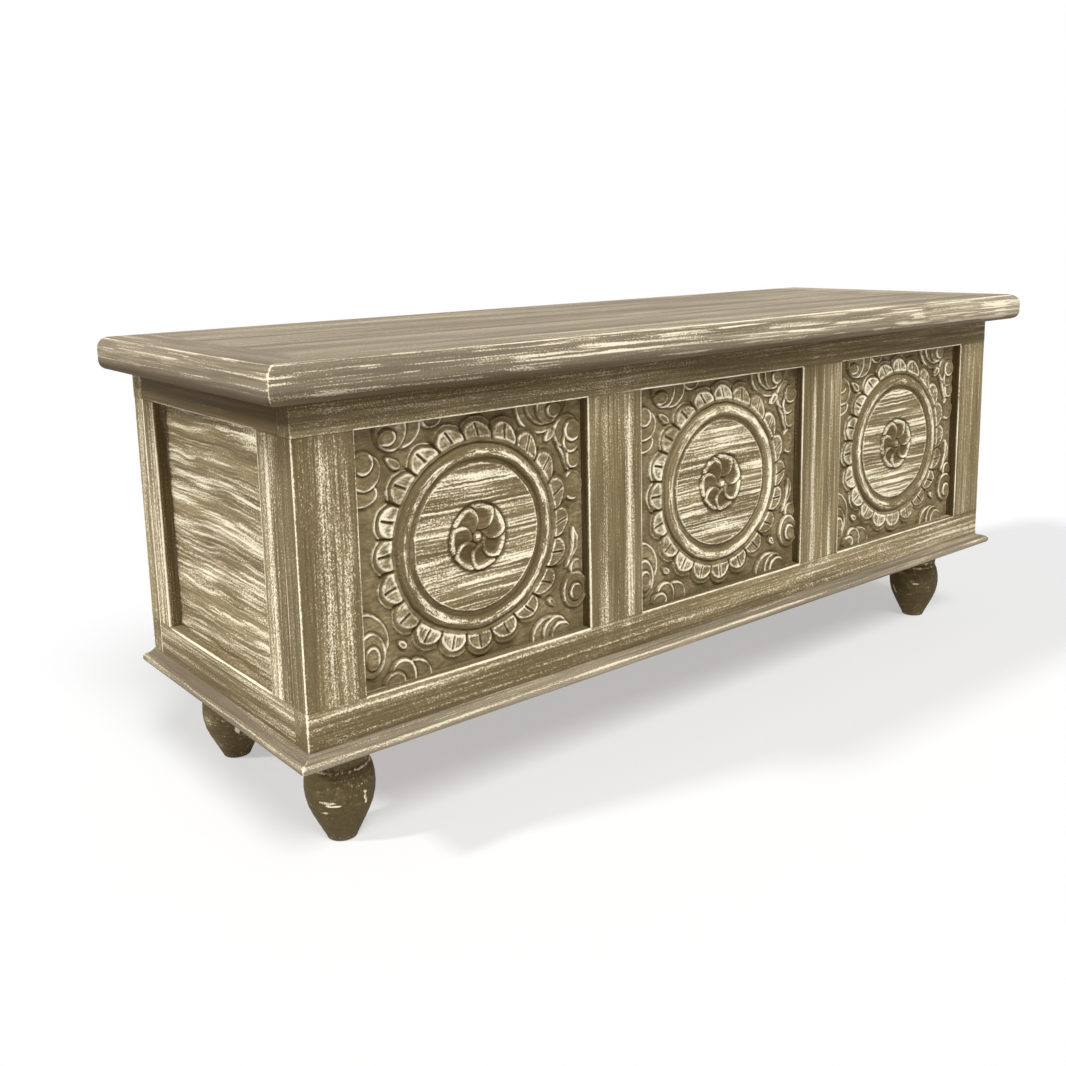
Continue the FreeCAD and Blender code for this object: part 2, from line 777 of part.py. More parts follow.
def foot(label, across, back):
    """A turned foot: a toe, a taper, a bulge, a crease, a hollow neck, a collar and a tenon."""
    turning = body(label + "_turning")
    put(turning, (across, back, "0"))
    half = outline(sketch_on(turning, label + "_half", "XZ_Plane"), [
        ("0", "0", None),
        ("toe_radius - toe_round", "0", ("toe_round", 1)),
        ("toe_radius", "toe_round", None),
        ("taper_radius", "taper_height", ("bulge_curve", 1)),
        ("crease_radius", "crease_height", ("cove_curve", -1)),
        ("collar_radius", "collar_height", None),
        ("collar_radius", "foot_height", None),
        ("foot_tenon_radius", "foot_height", None),
        ("foot_tenon_radius", "foot_height + base_thickness - fit_gap", None),
        ("0", "foot_height + base_thickness - fit_gap", None),
    ])
    turned(turning, label + "_form", half)
    return node(label, turning)


FEET = {
    "front_left": ("-foot_side", "foot_front"),
    "front_right": ("foot_side", "foot_front"),
    "back_left": ("-foot_side", "foot_back"),
    "back_right": ("foot_side", "foot_back"),
}
for corner, (across, back) in FEET.items():
    foot(f"{corner}_foot", across, back)


def bottom_board(label, number, feet):
    """A board of the chest's bottom, with a round hole for each foot's tenon."""
    wood = box(
        label + "_wood",
        ("-board_length / 2", f"boards_front + {number} * board_width", "foot_height"),
        ("board_length", "board_width", "base_thickness"),
    )
    if not feet:
        return node(label, wood)
    holes = [
        rod(
            f"{corner}_tenon_hole", (*FEET[corner], "foot_height - overrun"),
            "foot_tenon_radius + fit_gap", "base_thickness + 2 * overrun",
        )
        for corner in feet
    ]
    return node(label, less(label + "_bored", wood, holes))


bottom_board("front_bottom_board", 0, ["front_left", "front_right"])
bottom_board("middle_bottom_board", 1, [])
bottom_board("back_bottom_board", 2, ["back_left", "back_right"])


# The lid: a rounded edging on three sides, a square rail at the back, planks and battens

def edging_strip(owner, name, sketch, length, outside, both_ways):
    """Pads an edging strip and rounds its outer edges, more above than below."""
    strip = pad(owner, name, sketch, length, both_ways=both_ways)
    upper = rounded(
        owner, name + "_top_round", strip,
        lambda point: outside(point) and near(point.z, "lid_thickness"), "edging_top_round",
    )
    return rounded(
        owner, name + "_bottom_round", upper,
        lambda point: outside(point) and near(point.z, "0"), "edging_bottom_round",
    )


def front_edging():
    strip = body("lid_edging_front_strip")
    put(strip, ("0", "case_front", "lid_under"))
    section = rectangle(
        sketch_on(strip, "lid_edging_front_section", "YZ_Plane"),
        "-lid_overhang", "0", "edging_hold", "lid_thickness",
    )
    edging_strip(
        strip, "lid_edging_front_length", section, "case_length + 2 * lid_overhang",
        lambda point: near(point.y, "-lid_overhang"), True,
    )
    tools = [
        mitre_tool(
            f"lid_edging_front_{side}_mitre", "front", side,
            "lid_overhang", "edging_width", "lid_under", "lid_thickness",
        )
        for side in ("left", "right")
    ]
    node("lid_edging_front", less("lid_edging_front_cut", strip, tools))


def side_edging(side, place, outer, inner):
    label = f"lid_edging_{side}"
    strip = body(label + "_strip")
    put(strip, (place, "case_back", "lid_under"))
    section = rectangle(
        sketch_on(strip, label + "_section", "XZ_Plane"),
        min(outer, inner, key=value), "0", max(outer, inner, key=value), "lid_thickness",
    )
    edging_strip(
        strip, label + "_length", section, "case_depth + lid_overhang",
        lambda point: near(point.x, outer), False,
    )
    tool = mitre_tool(
        label + "_mitre", "side", side, "lid_overhang", "edging_width", "lid_under", "lid_thickness",
    )
    node(label, less(label + "_cut", strip, [tool]))


front_edging()
side_edging("left", "case_left", "-lid_overhang", "edging_hold")
side_edging("right", "case_right", "lid_overhang", "-edging_hold")

back_rail_wood = box(
    "lid_back_rail_wood",
    ("-plank_length / 2", "planks_back", "lid_under"),
    ("plank_length", "lid_back_rail_width", "lid_thickness"),
)
node("lid_back_rail", less(
    "lid_back_rail_cut", back_rail_wood,
    [*mortises("lid", "lid_under"), *screw_rooms("lid_rail", lid_screws, "up")],
))

for number, position in enumerate(("front", "middle", "back")):
    node(f"lid_plank_{position}", box(
        f"lid_plank_{position}_wood",
        ("-plank_length / 2", f"planks_front + {number} * plank_width", "plank_under"),
        ("plank_length", "plank_width", "plank_thickness"),
    ))

bracket_screws = [
    ("bracket_outside - bracket_reach + bracket_screw_inset",
     f"pivot_back + {way} * (bracket_length / 2 - bracket_screw_inset)", "lid_under - leaf_thickness")
    for way in (-1, 1)
]
BATTENS = {
    "left": "-plank_length / 2",
    "middle": "-batten_width / 2",
    "right": "plank_length / 2 - batten_width",
}
for side, left in BATTENS.items():
    batten = box(
        f"lid_batten_{side}_wood",
        (left, "planks_front", "lid_under"),
        ("batten_width", "planks_back - planks_front", "plank_under - lid_under"),
    )
    if side == "right":
        batten = less("lid_batten_right_bored", batten, screw_rooms("batten", bracket_screws, "up"))
    node(f"lid_batten_{side}", batten)


# The butt hinges: five knuckles round one pin, three on the case's leaf and two on the lid's

def hinge_leaf(label, middle, low, own, other, screws, direction):
    """A leaf with its own knuckles, cut back where the other leaf's knuckles turn."""
    start = f"{middle} - hinge_length / 2"
    plate = box(
        label + "_plate", (start, "case_back - leaf_width", low),
        ("hinge_length", "leaf_width + barrel_gap + barrel_radius", "leaf_thickness"),
    )
    relief = [
        box(
            f"{label}_relief_{number}",
            (f"{start} + {number} * knuckle_pitch - knuckle_gap", "case_back", f"{low} - overrun"),
            ("knuckle_length + 2 * knuckle_gap", "barrel_gap + barrel_radius + overrun",
             "leaf_thickness + 2 * overrun"),
        )
        for number in other
    ]
    knuckles = [
        rod_along_x(
            f"{label}_knuckle_{number}", (f"{start} + {number} * knuckle_pitch", "pin_back", "pin_up"),
            "barrel_radius", "knuckle_length",
        )
        for number in own
    ]
    bore = rod_along_x(
        label + "_bore", (f"{start} - overrun", "pin_back", "pin_up"),
        "pin_radius + running_gap", "hinge_length + 2 * overrun",
    )
    rolled = fused(label + "_rolled", [less(label + "_cut_back", plate, relief), *knuckles])
    return node(label, less(label + "_bored", rolled, [bore, *screw_rooms(label, screws, direction)]))


def hinge_pin(label, middle):
    """A straight pin with a small head at each end."""
    start = f"{middle} - hinge_length / 2"
    shaft = rod_along_x(
        label + "_shaft", (f"{start} - knuckle_gap - pin_head_length", "pin_back", "pin_up"),
        "pin_radius", "hinge_length + 2 * (knuckle_gap + pin_head_length)",
    )
    heads = [
        rod_along_x(
            f"{label}_{name}_head", (along, "pin_back", "pin_up"), "pin_head_radius", "pin_head_length",
        )
        for name, along in (
            ("left", f"{start} - knuckle_gap - pin_head_length"),
            ("right", f"{start} + hinge_length + knuckle_gap"),
        )
    ]
    return node(label, fused(label + "_whole", [shaft, *heads]))


for side, middle in HINGES.items():
    hinge_leaf(
        f"{side}_hinge_case_leaf", middle, "case_top - leaf_thickness", (0, 2, 4), (1, 3),
        hinge_screw_places(middle, "case_top"), "down",
    )
    hinge_leaf(
        f"{side}_hinge_lid_leaf", middle, "lid_under", (1, 3), (0, 2, 4),
        hinge_screw_places(middle, "lid_under"), "up",
    )
    hinge_pin(f"{side}_hinge_pin", middle)
screw_set("hinge_case_screws", case_screws, "down")
screw_set("hinge_lid_screws", lid_screws, "up")


# The lid stay. A slotted arm turns on a bracket under the lid and slides along a stud on the wall.
# Stud and pivot stand at the same reach from the hinge pin, so the arm turns half as fast as the lid.

def stay_plate():
    """The plate on the side's top rail, which carries the stud at its lower end."""
    plate = box(
        "stay_plate_blank",
        ("plate_inside", "stud_back - stay_plate_width / 2", "stud_up - stay_plate_tail"),
        ("leaf_thickness", "stay_plate_width", "stay_plate_rise + stay_plate_tail"),
    )
    hole = rod_along_x(
        "stay_plate_hole", ("plate_inside - overrun", "stud_back", "stud_up"),
        "stud_radius + running_gap", "leaf_thickness + 2 * overrun",
    )
    node("stay_plate", less("stay_plate_bored", plate, [hole, *screw_rooms("plate", stay_screws, "outward")]))


def stay_stud():
    """The stud that the arm slides on, with a wide head inside the arm."""
    shank = rod_along_x(
        "stay_stud_shank", ("bracket_outside", "stud_back", "stud_up"),
        "stud_radius", "wall_inside - bracket_outside",
    )
    head = rod_along_x(
        "stay_stud_head", ("bracket_outside - stud_head_length", "stud_back", "stud_up"),
        "stud_head_radius", "stud_head_length",
    )
    node("stay_stud", fused("stay_stud_whole", [shank, head]))


def stay_bracket():
    """An angle under the lid: a flange screwed to the batten, and an ear that holds the pivot."""
    bracket = body("stay_bracket_angle")
    put(bracket, ("bracket_inside", "pivot_back", "pivot_up"))
    ear_top = "lid_under - pivot_up"
    ear = outline(sketch_on(bracket, "stay_bracket_ear_outline", "YZ_Plane"), [
        ("-arm_width / 2", "0", ("arm_width / 2", 1)),
        ("0", "-arm_width / 2", ("arm_width / 2", 1)),
        ("arm_width / 2", "0", None),
        ("bracket_length / 2", f"{ear_top} - leaf_thickness", None),
        ("bracket_length / 2", ear_top, None),
        ("-bracket_length / 2", ear_top, None),
        ("-bracket_length / 2", f"{ear_top} - leaf_thickness", None),
    ])
    pad(bracket, "stay_bracket_ear", ear, "leaf_thickness")
    flange = rectangle(
        sketch_on(bracket, "stay_bracket_flange_outline", "XY_Plane", ear_top),
        "leaf_thickness - bracket_reach", "-bracket_length / 2", "leaf_thickness", "bracket_length / 2",
    )
    pad(bracket, "stay_bracket_flange", flange, "leaf_thickness", away=True)
    hole = circle(
        sketch_on(bracket, "stay_bracket_hole_outline", "YZ_Plane"), "0", "0", "pivot_radius + running_gap",
    )
    pocket(bracket, "stay_bracket_hole", hole, "leaf_thickness", away=True)
    node("stay_bracket", less(
        "stay_bracket_bored", bracket, screw_rooms("bracket", bracket_screws, "up"),
    ))


def stay_pivot_pin():
    """The rivet through the bracket's ear and the arm, with a head on its inner end."""
    shaft = rod_along_x(
        "stay_pivot_shaft", ("bracket_inside - running_gap", "pivot_back", "pivot_up"),
        "pivot_radius", "arm_outside - bracket_inside + running_gap",
    )
    head = rod_along_x(
        "stay_pivot_head", ("bracket_inside - running_gap - pivot_head_length", "pivot_back", "pivot_up"),
        "pivot_head_radius", "pivot_head_length",
    )
    node("stay_pivot_pin", fused("stay_pivot_pin_whole", [shaft, head]))


def stay_arm():
    """The slotted arm. Its own frame has the pivot at the origin and the arm hanging down -Z."""
    arm = body("stay_arm_bar")
    turn(arm, (1, 0, 0), value("stay_turn"))
    bind(arm, {"Placement.Rotation.Angle": "stay_turn"})
    put(arm, ("arm_inside", "pivot_back", "pivot_up"))
    half = "arm_width / 2"
    lower = "-slot_end - arm_tail + arm_width / 2"
    bar = outline(sketch_on(arm, "stay_arm_outline", "YZ_Plane"), [
        (half, "0", (half, 1)),
        ("0", half, (half, 1)),
        (f"-{half}", "0", None),
        (f"-{half}", lower, (half, 1)),
        ("0", f"{lower} - {half}", (half, 1)),
        (half, lower, None),
    ])
    pad(arm, "stay_arm_plate", bar, "arm_thickness")
    slot_half = "stud_radius + slot_gap"
    slot = outline(sketch_on(arm, "stay_arm_slot_outline", "YZ_Plane"), [
        (slot_half, "-slot_start", (slot_half, 1)),
        ("0", f"-slot_start + {slot_half}", (slot_half, 1)),
        (f"-({slot_half})", "-slot_start", None),
        (f"-({slot_half})", "-slot_end", (slot_half, 1)),
        ("0", f"-slot_end - ({slot_half})", (slot_half, 1)),
        (slot_half, "-slot_end", None),
    ])
    pocket(arm, "stay_arm_slot", slot, "arm_thickness", away=True)
    hole = circle(sketch_on(arm, "stay_arm_hole_outline", "YZ_Plane"), "0", "0", "pivot_radius + running_gap")
    pocket(arm, "stay_arm_hole", hole, "arm_thickness", away=True)
    node("stay_arm", arm)


stay_plate()
stay_stud()
stay_bracket()
stay_pivot_pin()
stay_arm()
screw_set("stay_case_screws", stay_screws, "outward")
screw_set("stay_lid_screws", bracket_screws, "up")


# Everything is worked out and looked over before anything is written

doc.recompute()
for thing in doc.Objects:
    if "Invalid" in thing.State or "Error" in thing.State:
        raise RuntimeError(f"{thing.Name} is {thing.State}")
for piece in nodes:
    if piece.Shape.isNull() or not piece.Shape.isValid():
        raise RuntimeError(f"{piece.Label} has no sound shape")
for piece in nodes:
    piece.Shape.exportStep(f"parts/{piece.Label}.step")
print(f"{len(nodes)} pieces written")
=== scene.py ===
# %% [markdown]
# # A damchiya chest, dressed
# The chest's joinery comes in ready made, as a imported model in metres. This lesson dresses it:
# each board, moulding, carved panel and foot gets a surface with soft edges and real tool marks,
# and then a paint that is brushed back to pale wood. Every new surface is worked out with numpy
# on a grid of two parameters and handed to Blender in one go.

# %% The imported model
import math

import bpy
import numpy as np
from mathutils import Matrix, Vector


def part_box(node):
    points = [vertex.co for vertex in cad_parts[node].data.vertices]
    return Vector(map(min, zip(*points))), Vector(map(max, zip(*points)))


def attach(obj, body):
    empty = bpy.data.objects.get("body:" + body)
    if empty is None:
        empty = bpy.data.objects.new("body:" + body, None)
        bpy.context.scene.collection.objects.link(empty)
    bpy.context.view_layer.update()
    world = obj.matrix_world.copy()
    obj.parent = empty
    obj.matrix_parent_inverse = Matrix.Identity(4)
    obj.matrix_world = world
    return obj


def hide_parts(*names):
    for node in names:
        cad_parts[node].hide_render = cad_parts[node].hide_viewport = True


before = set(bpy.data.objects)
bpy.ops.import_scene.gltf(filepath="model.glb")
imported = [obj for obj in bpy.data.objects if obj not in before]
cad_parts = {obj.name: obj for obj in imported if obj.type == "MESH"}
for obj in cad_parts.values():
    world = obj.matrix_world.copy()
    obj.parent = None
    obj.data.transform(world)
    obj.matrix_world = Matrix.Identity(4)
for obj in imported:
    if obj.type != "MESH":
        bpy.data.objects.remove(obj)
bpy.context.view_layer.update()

# %% [markdown]
# ## Where the camera stands
# The photograph was taken from the left of the chest, a little above its lid. The place, the turn
# and the lens were worked out from the case's straight edges, which all have to meet theirs.
# The picture's middle isn't the lens's middle, so the lens is shifted a little.

# %% The camera
PICTURE = 1066
FILM_WIDTH = 36.0
LENS_IN_PIXELS = 1150.7
LENS_MIDDLE = (554.5, 435.5)
CAMERA_PLACE = Vector((-0.9696, -1.0320, 0.5704))
LOOKS_ALONG = Vector((0.6266, 0.7592, -0.1758)).normalized()
RIGHT_HAND = Vector((0.7690, -0.6390, -0.0187)).normalized()
SIGHT = 60


def into_scene(name, data):
    """A new object that shows the data, at the scene's origin."""
    made = bpy.data.objects.new(name, data)
    bpy.context.scene.collection.objects.link(made)
    return made


camera_data = bpy.data.cameras.new("photographer")
camera_data.sensor_width = FILM_WIDTH
camera_data.lens = LENS_IN_PIXELS / PICTURE * FILM_WIDTH
camera_data.shift_x = (PICTURE / 2 - LENS_MIDDLE[0]) / PICTURE
camera_data.shift_y = (LENS_MIDDLE[1] - PICTURE / 2) / PICTURE
camera_data.clip_end = SIGHT
camera = into_scene("photographer", camera_data)
backwards = -LOOKS_ALONG
upwards = backwards.cross(RIGHT_HAND).normalized()
sideways = upwards.cross(backwards)
turned = Matrix((sideways, upwards, backwards)).transposed().to_4x4()
camera.matrix_world = Matrix.Translation(CAMERA_PLACE) @ turned
bpy.context.scene.camera = camera
bpy.context.scene.view_settings.view_transform = "Standard"
print(f"the lens is {camera_data.lens:.1f} mm")

# %% [markdown]
# ## From numbers to a mesh
# A piece is an array of points and an array of faces. Beside its points it carries four marks,
# a number or a vector for each point, that the paint reads later: `grain` is the point's place
# measured along and across the wood, `worn` says how far the paint is rubbed off there,
# `painted_shade` how far painted shade darkens the point, in hollows, creases and under the lid,
# and `bare` whether the wood there was left without paint.

# %% Making one piece
MM = 0.001
pieces = {}


def weave(numbers, around=False):
    """The quads of a grid of points, from the points' numbers in rows and columns.

    Quad (i, j) joins point (i, j), (i, j+1), (i+1, j+1) and (i+1, j). With around, the last
    column is joined to the first one.
    """
    if around:
        numbers = np.concatenate([numbers, numbers[:, :1]], axis=1)
    corners = (numbers[:-1, :-1], numbers[:-1, 1:], numbers[1:, 1:], numbers[1:, :-1])
    return np.stack(corners, axis=-1).reshape(-1, 4)


def signed_volume(points, faces):
    """A sixth of the sum of a . (b x c) over all triangles. It is positive if the faces look out."""
    total = 0.0
    for group in faces:
        first, second, third = points[group[:, :1]], points[group[:, 1:-1]], points[group[:, 2:]]
        total += np.sum(first * np.cross(second, third))
    return total / 6


def marks_of(grain, worn, painted_shade=0.0, bare=0.0):
    """The four marks in one row for each point. All but the grain are held between 0 and 1."""
    marks = {"grain": grain.reshape(-1, 3)}
    for mark, values in (("worn", worn), ("painted_shade", painted_shade), ("bare", bare)):
        marks[mark] = np.broadcast_to(np.clip(values, 0, 1), grain.shape[:-1]).ravel()
    return marks


def piece(name, body, node, points, faces, material, marks):
    """One piece of the chest: a smooth mesh with its marks, riding on a body in place of a node.

    points is an array of n x 3 in metres, and faces a list of arrays, one for each corner count.
    """
    if signed_volume(points - points.mean(axis=0), faces) < 0:
        faces = [group[:, ::-1] for group in faces]
    corners = np.concatenate([group.ravel() for group in faces])
    sizes = np.concatenate([np.full(len(group), group.shape[1]) for group in faces])
    starts = np.cumsum(sizes) - sizes
    mesh = bpy.data.meshes.new(name)
    mesh.vertices.add(len(points))
    mesh.vertices.foreach_set("co", np.ascontiguousarray(points, np.float32).ravel())
    mesh.loops.add(len(corners))
    mesh.loops.foreach_set("vertex_index", corners.astype(np.int32))
    mesh.polygons.add(len(sizes))
    mesh.polygons.foreach_set("loop_start", starts.astype(np.int32))
    mesh.update(calc_edges=True)
    mesh.polygons.foreach_set("use_smooth", sizes < 5)
    for mark, values in marks.items():
        kind, field = ("FLOAT_VECTOR", "vector") if values.ndim == 2 else ("FLOAT", "value")
        layer = mesh.attributes.new(mark, kind, "POINT")
        layer.data.foreach_set(field, np.ascontiguousarray(values, np.float32).ravel())
    mesh.materials.append(material)
    made = into_scene(name, mesh)
    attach(made, body)
    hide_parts(node)
    pieces[name] = made
    return made


# %% [markdown]
# ## Unevenness that is the same each time
# Hand-planed wood is never flat. `drift` is a soft hill-and-dale function: random heights stand on
# the corners of a coarse net, and between the corners the height glides from one to the next.
# The seed fixes the heights, so the chest comes out the same in every run.

# %% Soft unevenness
NET = 64


def drift(u, v, seed):
    """Soft noise between -1 and 1 over the plane u, v, with hills about one unit apart.

    The heights at the four corners of a cell are blended by 3f^2 - 2f^3 of the fraction f.
    """
    net = np.random.default_rng(seed).uniform(-1, 1, (NET, NET))
    low_u, low_v = np.floor(u).astype(int), np.floor(v).astype(int)
    glide_u, glide_v = (part**2 * (3 - 2 * part) for part in (u - low_u, v - low_v))

    def on_line(line):
        first, second = net[low_u % NET, line % NET], net[(low_u + 1) % NET, line % NET]
        return first * (1 - glide_u) + second * glide_u

    return on_line(low_v) * (1 - glide_v) + on_line(low_v + 1) * glide_v


def drifts(u, v, seed, *parts):
    """A sum of drifts. Each part has a weight, the hills' length and width, and its own seed step."""
    return sum(weight * drift(u / long, v / wide, seed + step) for weight, long, wide, step in parts)


def ease(low, high, x):
    """A smooth step, 3f^2 - 2f^3 from 0 at low to 1 at high. It falls where low is above high."""
    part = np.clip((x - low) / (high - low), 0, 1)
    return part * part * (3 - 2 * part)


def ridge(place, middle, half_width):
    """A soft ridge of height 1: e^-((x - m) / w)^2."""
    return np.exp(-(((place - middle) / half_width) ** 2))


print("a sample of the unevenness:", drift(np.array([0.3, 0.8]), np.array([0.1, 0.6]), 1).round(3))

# %% [markdown]
# ## The finishes
# A finish is a small net of shader nodes. Written out node by node it would fill pages, so a little
# bench keeps the net in hand: each of its calls adds one node and says what goes into its sockets.

# %% A bench for shader nets
class Bench:
    """Adds nodes to the net of one material or world."""

    def __init__(self, owner):
        owner.use_nodes = True
        self.owner, self.tree = owner, owner.node_tree
        self.tree.nodes.clear()

    def node(self, kind, plugs=(), **settings):
        """One node. plugs names its sockets, or gives their numbers, each with what goes in.

        That is another node's socket, which is linked, or else a number, a vector or a colour.
        """
        made = self.tree.nodes.new(kind)
        for setting, value in settings.items():
            setattr(made, setting, value)
        for socket, value in dict(plugs).items():
            if isinstance(value, bpy.types.NodeSocket):
                self.tree.links.new(value, made.inputs[socket])
            else:
                made.inputs[socket].default_value = value
        return made

    def math(self, operation, *values):
        return self.node("ShaderNodeMath", enumerate(values), operation=operation).outputs[0]

    def total(self, *parts):
        """The sum of the parts' sockets, each times its weight."""
        level = 0.0
        for socket, weight in parts:
            level = self.math("MULTIPLY_ADD", socket, weight, level)
        return level

    def mark(self, name, output="Fac"):
        """One of the marks that the piece's points carry."""
        return self.node("ShaderNodeAttribute", attribute_name=name).outputs[output]

    def object_place(self):
        return self.node("ShaderNodeTexCoord").outputs["Object"]

    def noise(self, place, scale, detail, roughness, distortion=0.0, shift=(0, 0, 0)):
        """Noise over a place that is multiplied by a scale for each axis, and then shifted."""
        stretched = self.node("ShaderNodeMapping", {"Vector": place, "Scale": scale, "Location": shift},
                              vector_type="POINT").outputs[0]
        made = self.node("ShaderNodeTexNoise", {
            "Vector": stretched, "Scale": 1.0, "Detail": detail, "Roughness": roughness,
            "Distortion": distortion}, noise_dimensions="3D")
        return made.outputs["Fac"]

    def between(self, value, low, high, out_low=0.0, out_high=1.0, way="SMOOTHSTEP"):
        """The value's place between low and high, carried over to between the two outs."""
        return self.node("ShaderNodeMapRange", enumerate((value, low, high, out_low, out_high)),
                         interpolation_type=way).outputs[0]

    def mix(self, share, first, second):
        return self.node("ShaderNodeMix", {0: share, 6: first, 7: second}, data_type="RGBA",
                         blend_type="MIX", clamp_factor=True).outputs[2]

    def finished(self, colour, roughness, height, depth, metallic=0.0, shine=0.08):
        """Ends the net in a surface shader, with a bump that is depth metres high."""
        bump = self.node("ShaderNodeBump", {"Distance": depth, "Strength": 1.0, "Height": height})
        shader = self.node("ShaderNodeBsdfPrincipled", {
            "Base Color": colour, "Roughness": roughness, "Normal": bump.outputs[0],
            "Metallic": metallic, "Specular IOR Level": shine})
        self.node("ShaderNodeOutputMaterial", {"Surface": shader.outputs[0]})
        return self.owner


def paint_chip(code):
    """The colour of a painter's chip, written as six hex digits, as the shader wants it.

    Each channel c between 0 and 1 becomes ((c + 0.055) / 1.055) ^ 2.4.
    """
    channels = [int(code[place:place + 2], 16) / 255 for place in (0, 2, 4)]
    return tuple(((c + 0.055) / 1.055) ** 2.4 if c > 0.04 else c / 12.92 for c in channels) + (1.0,)


print("half grey is mixed as", round(paint_chip("808080")[0], 3))

# %% [markdown]
# ## Taupe paint, brushed back to pale wood
# The real finish is a grey-brown paint over a cream one. It was dragged along the grain with a
# nearly dry brush, so the cream shows through in soft columns that break up into threads and
# specks. Four noises make this: a haze 30 mm wide, streaks of 6 mm, threads of 2 mm and specks of
# 1 mm. The mark `worn` lowers the height that their sum must reach before the cream shows.

# %% The painted wood
CREAM, TAN, SHADED = (paint_chip(code) for code in ("f1e7cd", "bcaa87", "3c290a"))
BARE_WOOD, BARE_LIGHT, BARE_DARK = (paint_chip(code) for code in ("8b7150", "a68b66", "64503a"))


def brushed_paint(name, tones, rest_worn=None):
    """The painted finish, from the chips of its dark, its middle and its light tone.

    With rest_worn it reads the object's own coordinates, with no marks, and is worn so far all over.
    """
    bench = Bench(bpy.data.materials.new(name))
    dark, taupe, light = (paint_chip(tone) for tone in tones)
    if rest_worn is None:
        grain = bench.mark("grain", "Vector")
        worn, painted_shade, bare = (bench.mark(mark) for mark in ("worn", "painted_shade", "bare"))
    else:
        grain, worn, painted_shade, bare = bench.object_place(), rest_worn, 0.0, 0.0
    haze = bench.noise(grain, (1.8, 30, 30), 2.0, 0.5, 0.2)
    streak = bench.noise(grain, (5, 150, 150), 3.0, 0.6, shift=(3.1, 1.7, 0.4))
    thread = bench.noise(grain, (9, 430, 430), 3.0, 0.65, shift=(0.2, 5.3, 2.9))
    speck = bench.noise(grain, (560, 760, 760), 2.0, 0.7, shift=(7.7, 0.6, 4.1))
    level = bench.total((haze, 0.14), (streak, 0.22), (thread, 0.24), (speck, 0.40))
    over = bench.math("SUBTRACT", level, bench.between(worn, 0.0, 1.0, 0.630, 0.395, "LINEAR"))
    veil, shows = bench.between(over, -0.085, 0.050), bench.between(over, -0.020, 0.060)
    shade = bench.mix(bench.between(haze, 0.36, 0.64), dark, light)
    shade = bench.mix(0.5, shade, taupe)
    shade = bench.mix(bench.between(thread, 0.36, 0.60, 0.55, 0.0), shade, dark)
    colour = bench.mix(bench.between(speck, 0.50, 0.68, 0.0, 0.22), shade, light)
    # The shade mark mixes the colour towards SHADED: painted shade in hollows, creases, openings and
    # under the lid.
    for share, weight, tone in ((veil, 0.62, TAN), (shows, 0.92, CREAM), (painted_shade, 0.85, SHADED)):
        colour = bench.mix(bench.math("MULTIPLY", share, weight), colour, tone)
    rings = bench.noise(grain, (2.2, 120, 120), 4.0, 0.6, 0.8, shift=(9, 4, 2))
    wood = bench.mix(bench.between(rings, 0.30, 0.70), BARE_WOOD, BARE_LIGHT)
    wood = bench.mix(bench.between(thread, 0.35, 0.75, 0.0, 0.45), wood, BARE_DARK)
    wood = bench.mix(bench.between(haze, 0.35, 0.70, 0.0, 0.25), wood, BARE_DARK)
    roughness = bench.between(shows, 0.0, 1.0, 0.62, 0.78, "LINEAR")
    height = bench.total((streak, 0.45), (thread, 0.30), (shows, 0.16))
    return bench.finished(bench.mix(bare, colour, wood), roughness, height, 0.9 * MM)


CASE_TONES = ("56492f", "807151", "9a8b69")
LID_TONES = ("63594b", "91856f", "ac9f8b")
painted = brushed_paint("taupe_paint_brushed_back", CASE_TONES)
lid_paint = brushed_paint("paler_paint_on_the_lid", LID_TONES)
foot_paint = brushed_paint("dark_paint_on_the_feet", ("493e26", "5c5034", "685b3f"))
plain_paint = brushed_paint("taupe_paint_behind", CASE_TONES, rest_worn=0.25)
plain_lid_paint = brushed_paint("paler_paint_behind", LID_TONES, rest_worn=0.29)
paints = (painted, lid_paint, foot_paint, plain_paint, plain_lid_paint)
print("finishes mixed:", ", ".join(paint.name for paint in paints))


# %% [markdown]
# ## Blackened iron and dull steel
# The hinges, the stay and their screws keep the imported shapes, which are right as they are, and so
# do the two rails at the back. Forged iron is dark with a brown bloom, and the screws are a paler,
# rubbed steel.

# %% The metals, and the pieces that keep their shape
def worked_metal(name, tones, rough_low, rough_high):
    """Metal with cloudy tone, a thin rust bloom and fine scratches, all on object coordinates."""
    bench = Bench(bpy.data.materials.new(name))
    dark, light, bloom = (paint_chip(tone) for tone in tones)
    place = bench.object_place()
    cloud = bench.noise(place, (70, 70, 70), 4.0, 0.6)
    scratch = bench.noise(place, (60, 900, 900), 2.0, 0.5)
    spots = bench.noise(place, (300, 300, 300), 3.0, 0.6, shift=(2, 5, 1))
    colour = bench.mix(bench.between(cloud, 0.3, 0.7), dark, light)
    colour = bench.mix(bench.between(spots, 0.55, 0.72, 0.0, 0.6), colour, bloom)
    roughness = bench.between(scratch, 0.3, 0.7, rough_low, rough_high)
    height = bench.math("ADD", cloud, scratch)
    return bench.finished(colour, roughness, height, 0.2 * MM, metallic=0.85, shine=0.5)


def dress(node, finish):
    """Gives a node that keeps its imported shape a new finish."""
    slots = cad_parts[node].data.materials
    slots.clear()
    slots.append(finish)


iron = worked_metal("blackened_iron", ("2a2825", "4a4741", "5a3d28"), 0.42, 0.62)
steel = worked_metal("rubbed_steel", ("6e6a62", "97938a", "6b5136"), 0.3, 0.5)
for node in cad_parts:
    if "screws" in node:
        dress(node, steel)
    elif node.startswith(("left_hinge", "right_hinge", "stay_")):
        dress(node, iron)
dress("back_top_rail", plain_paint)
dress("lid_back_rail", plain_lid_paint)
print("metals laid on the hinges, the stay and their screws, and paint on the rails behind")

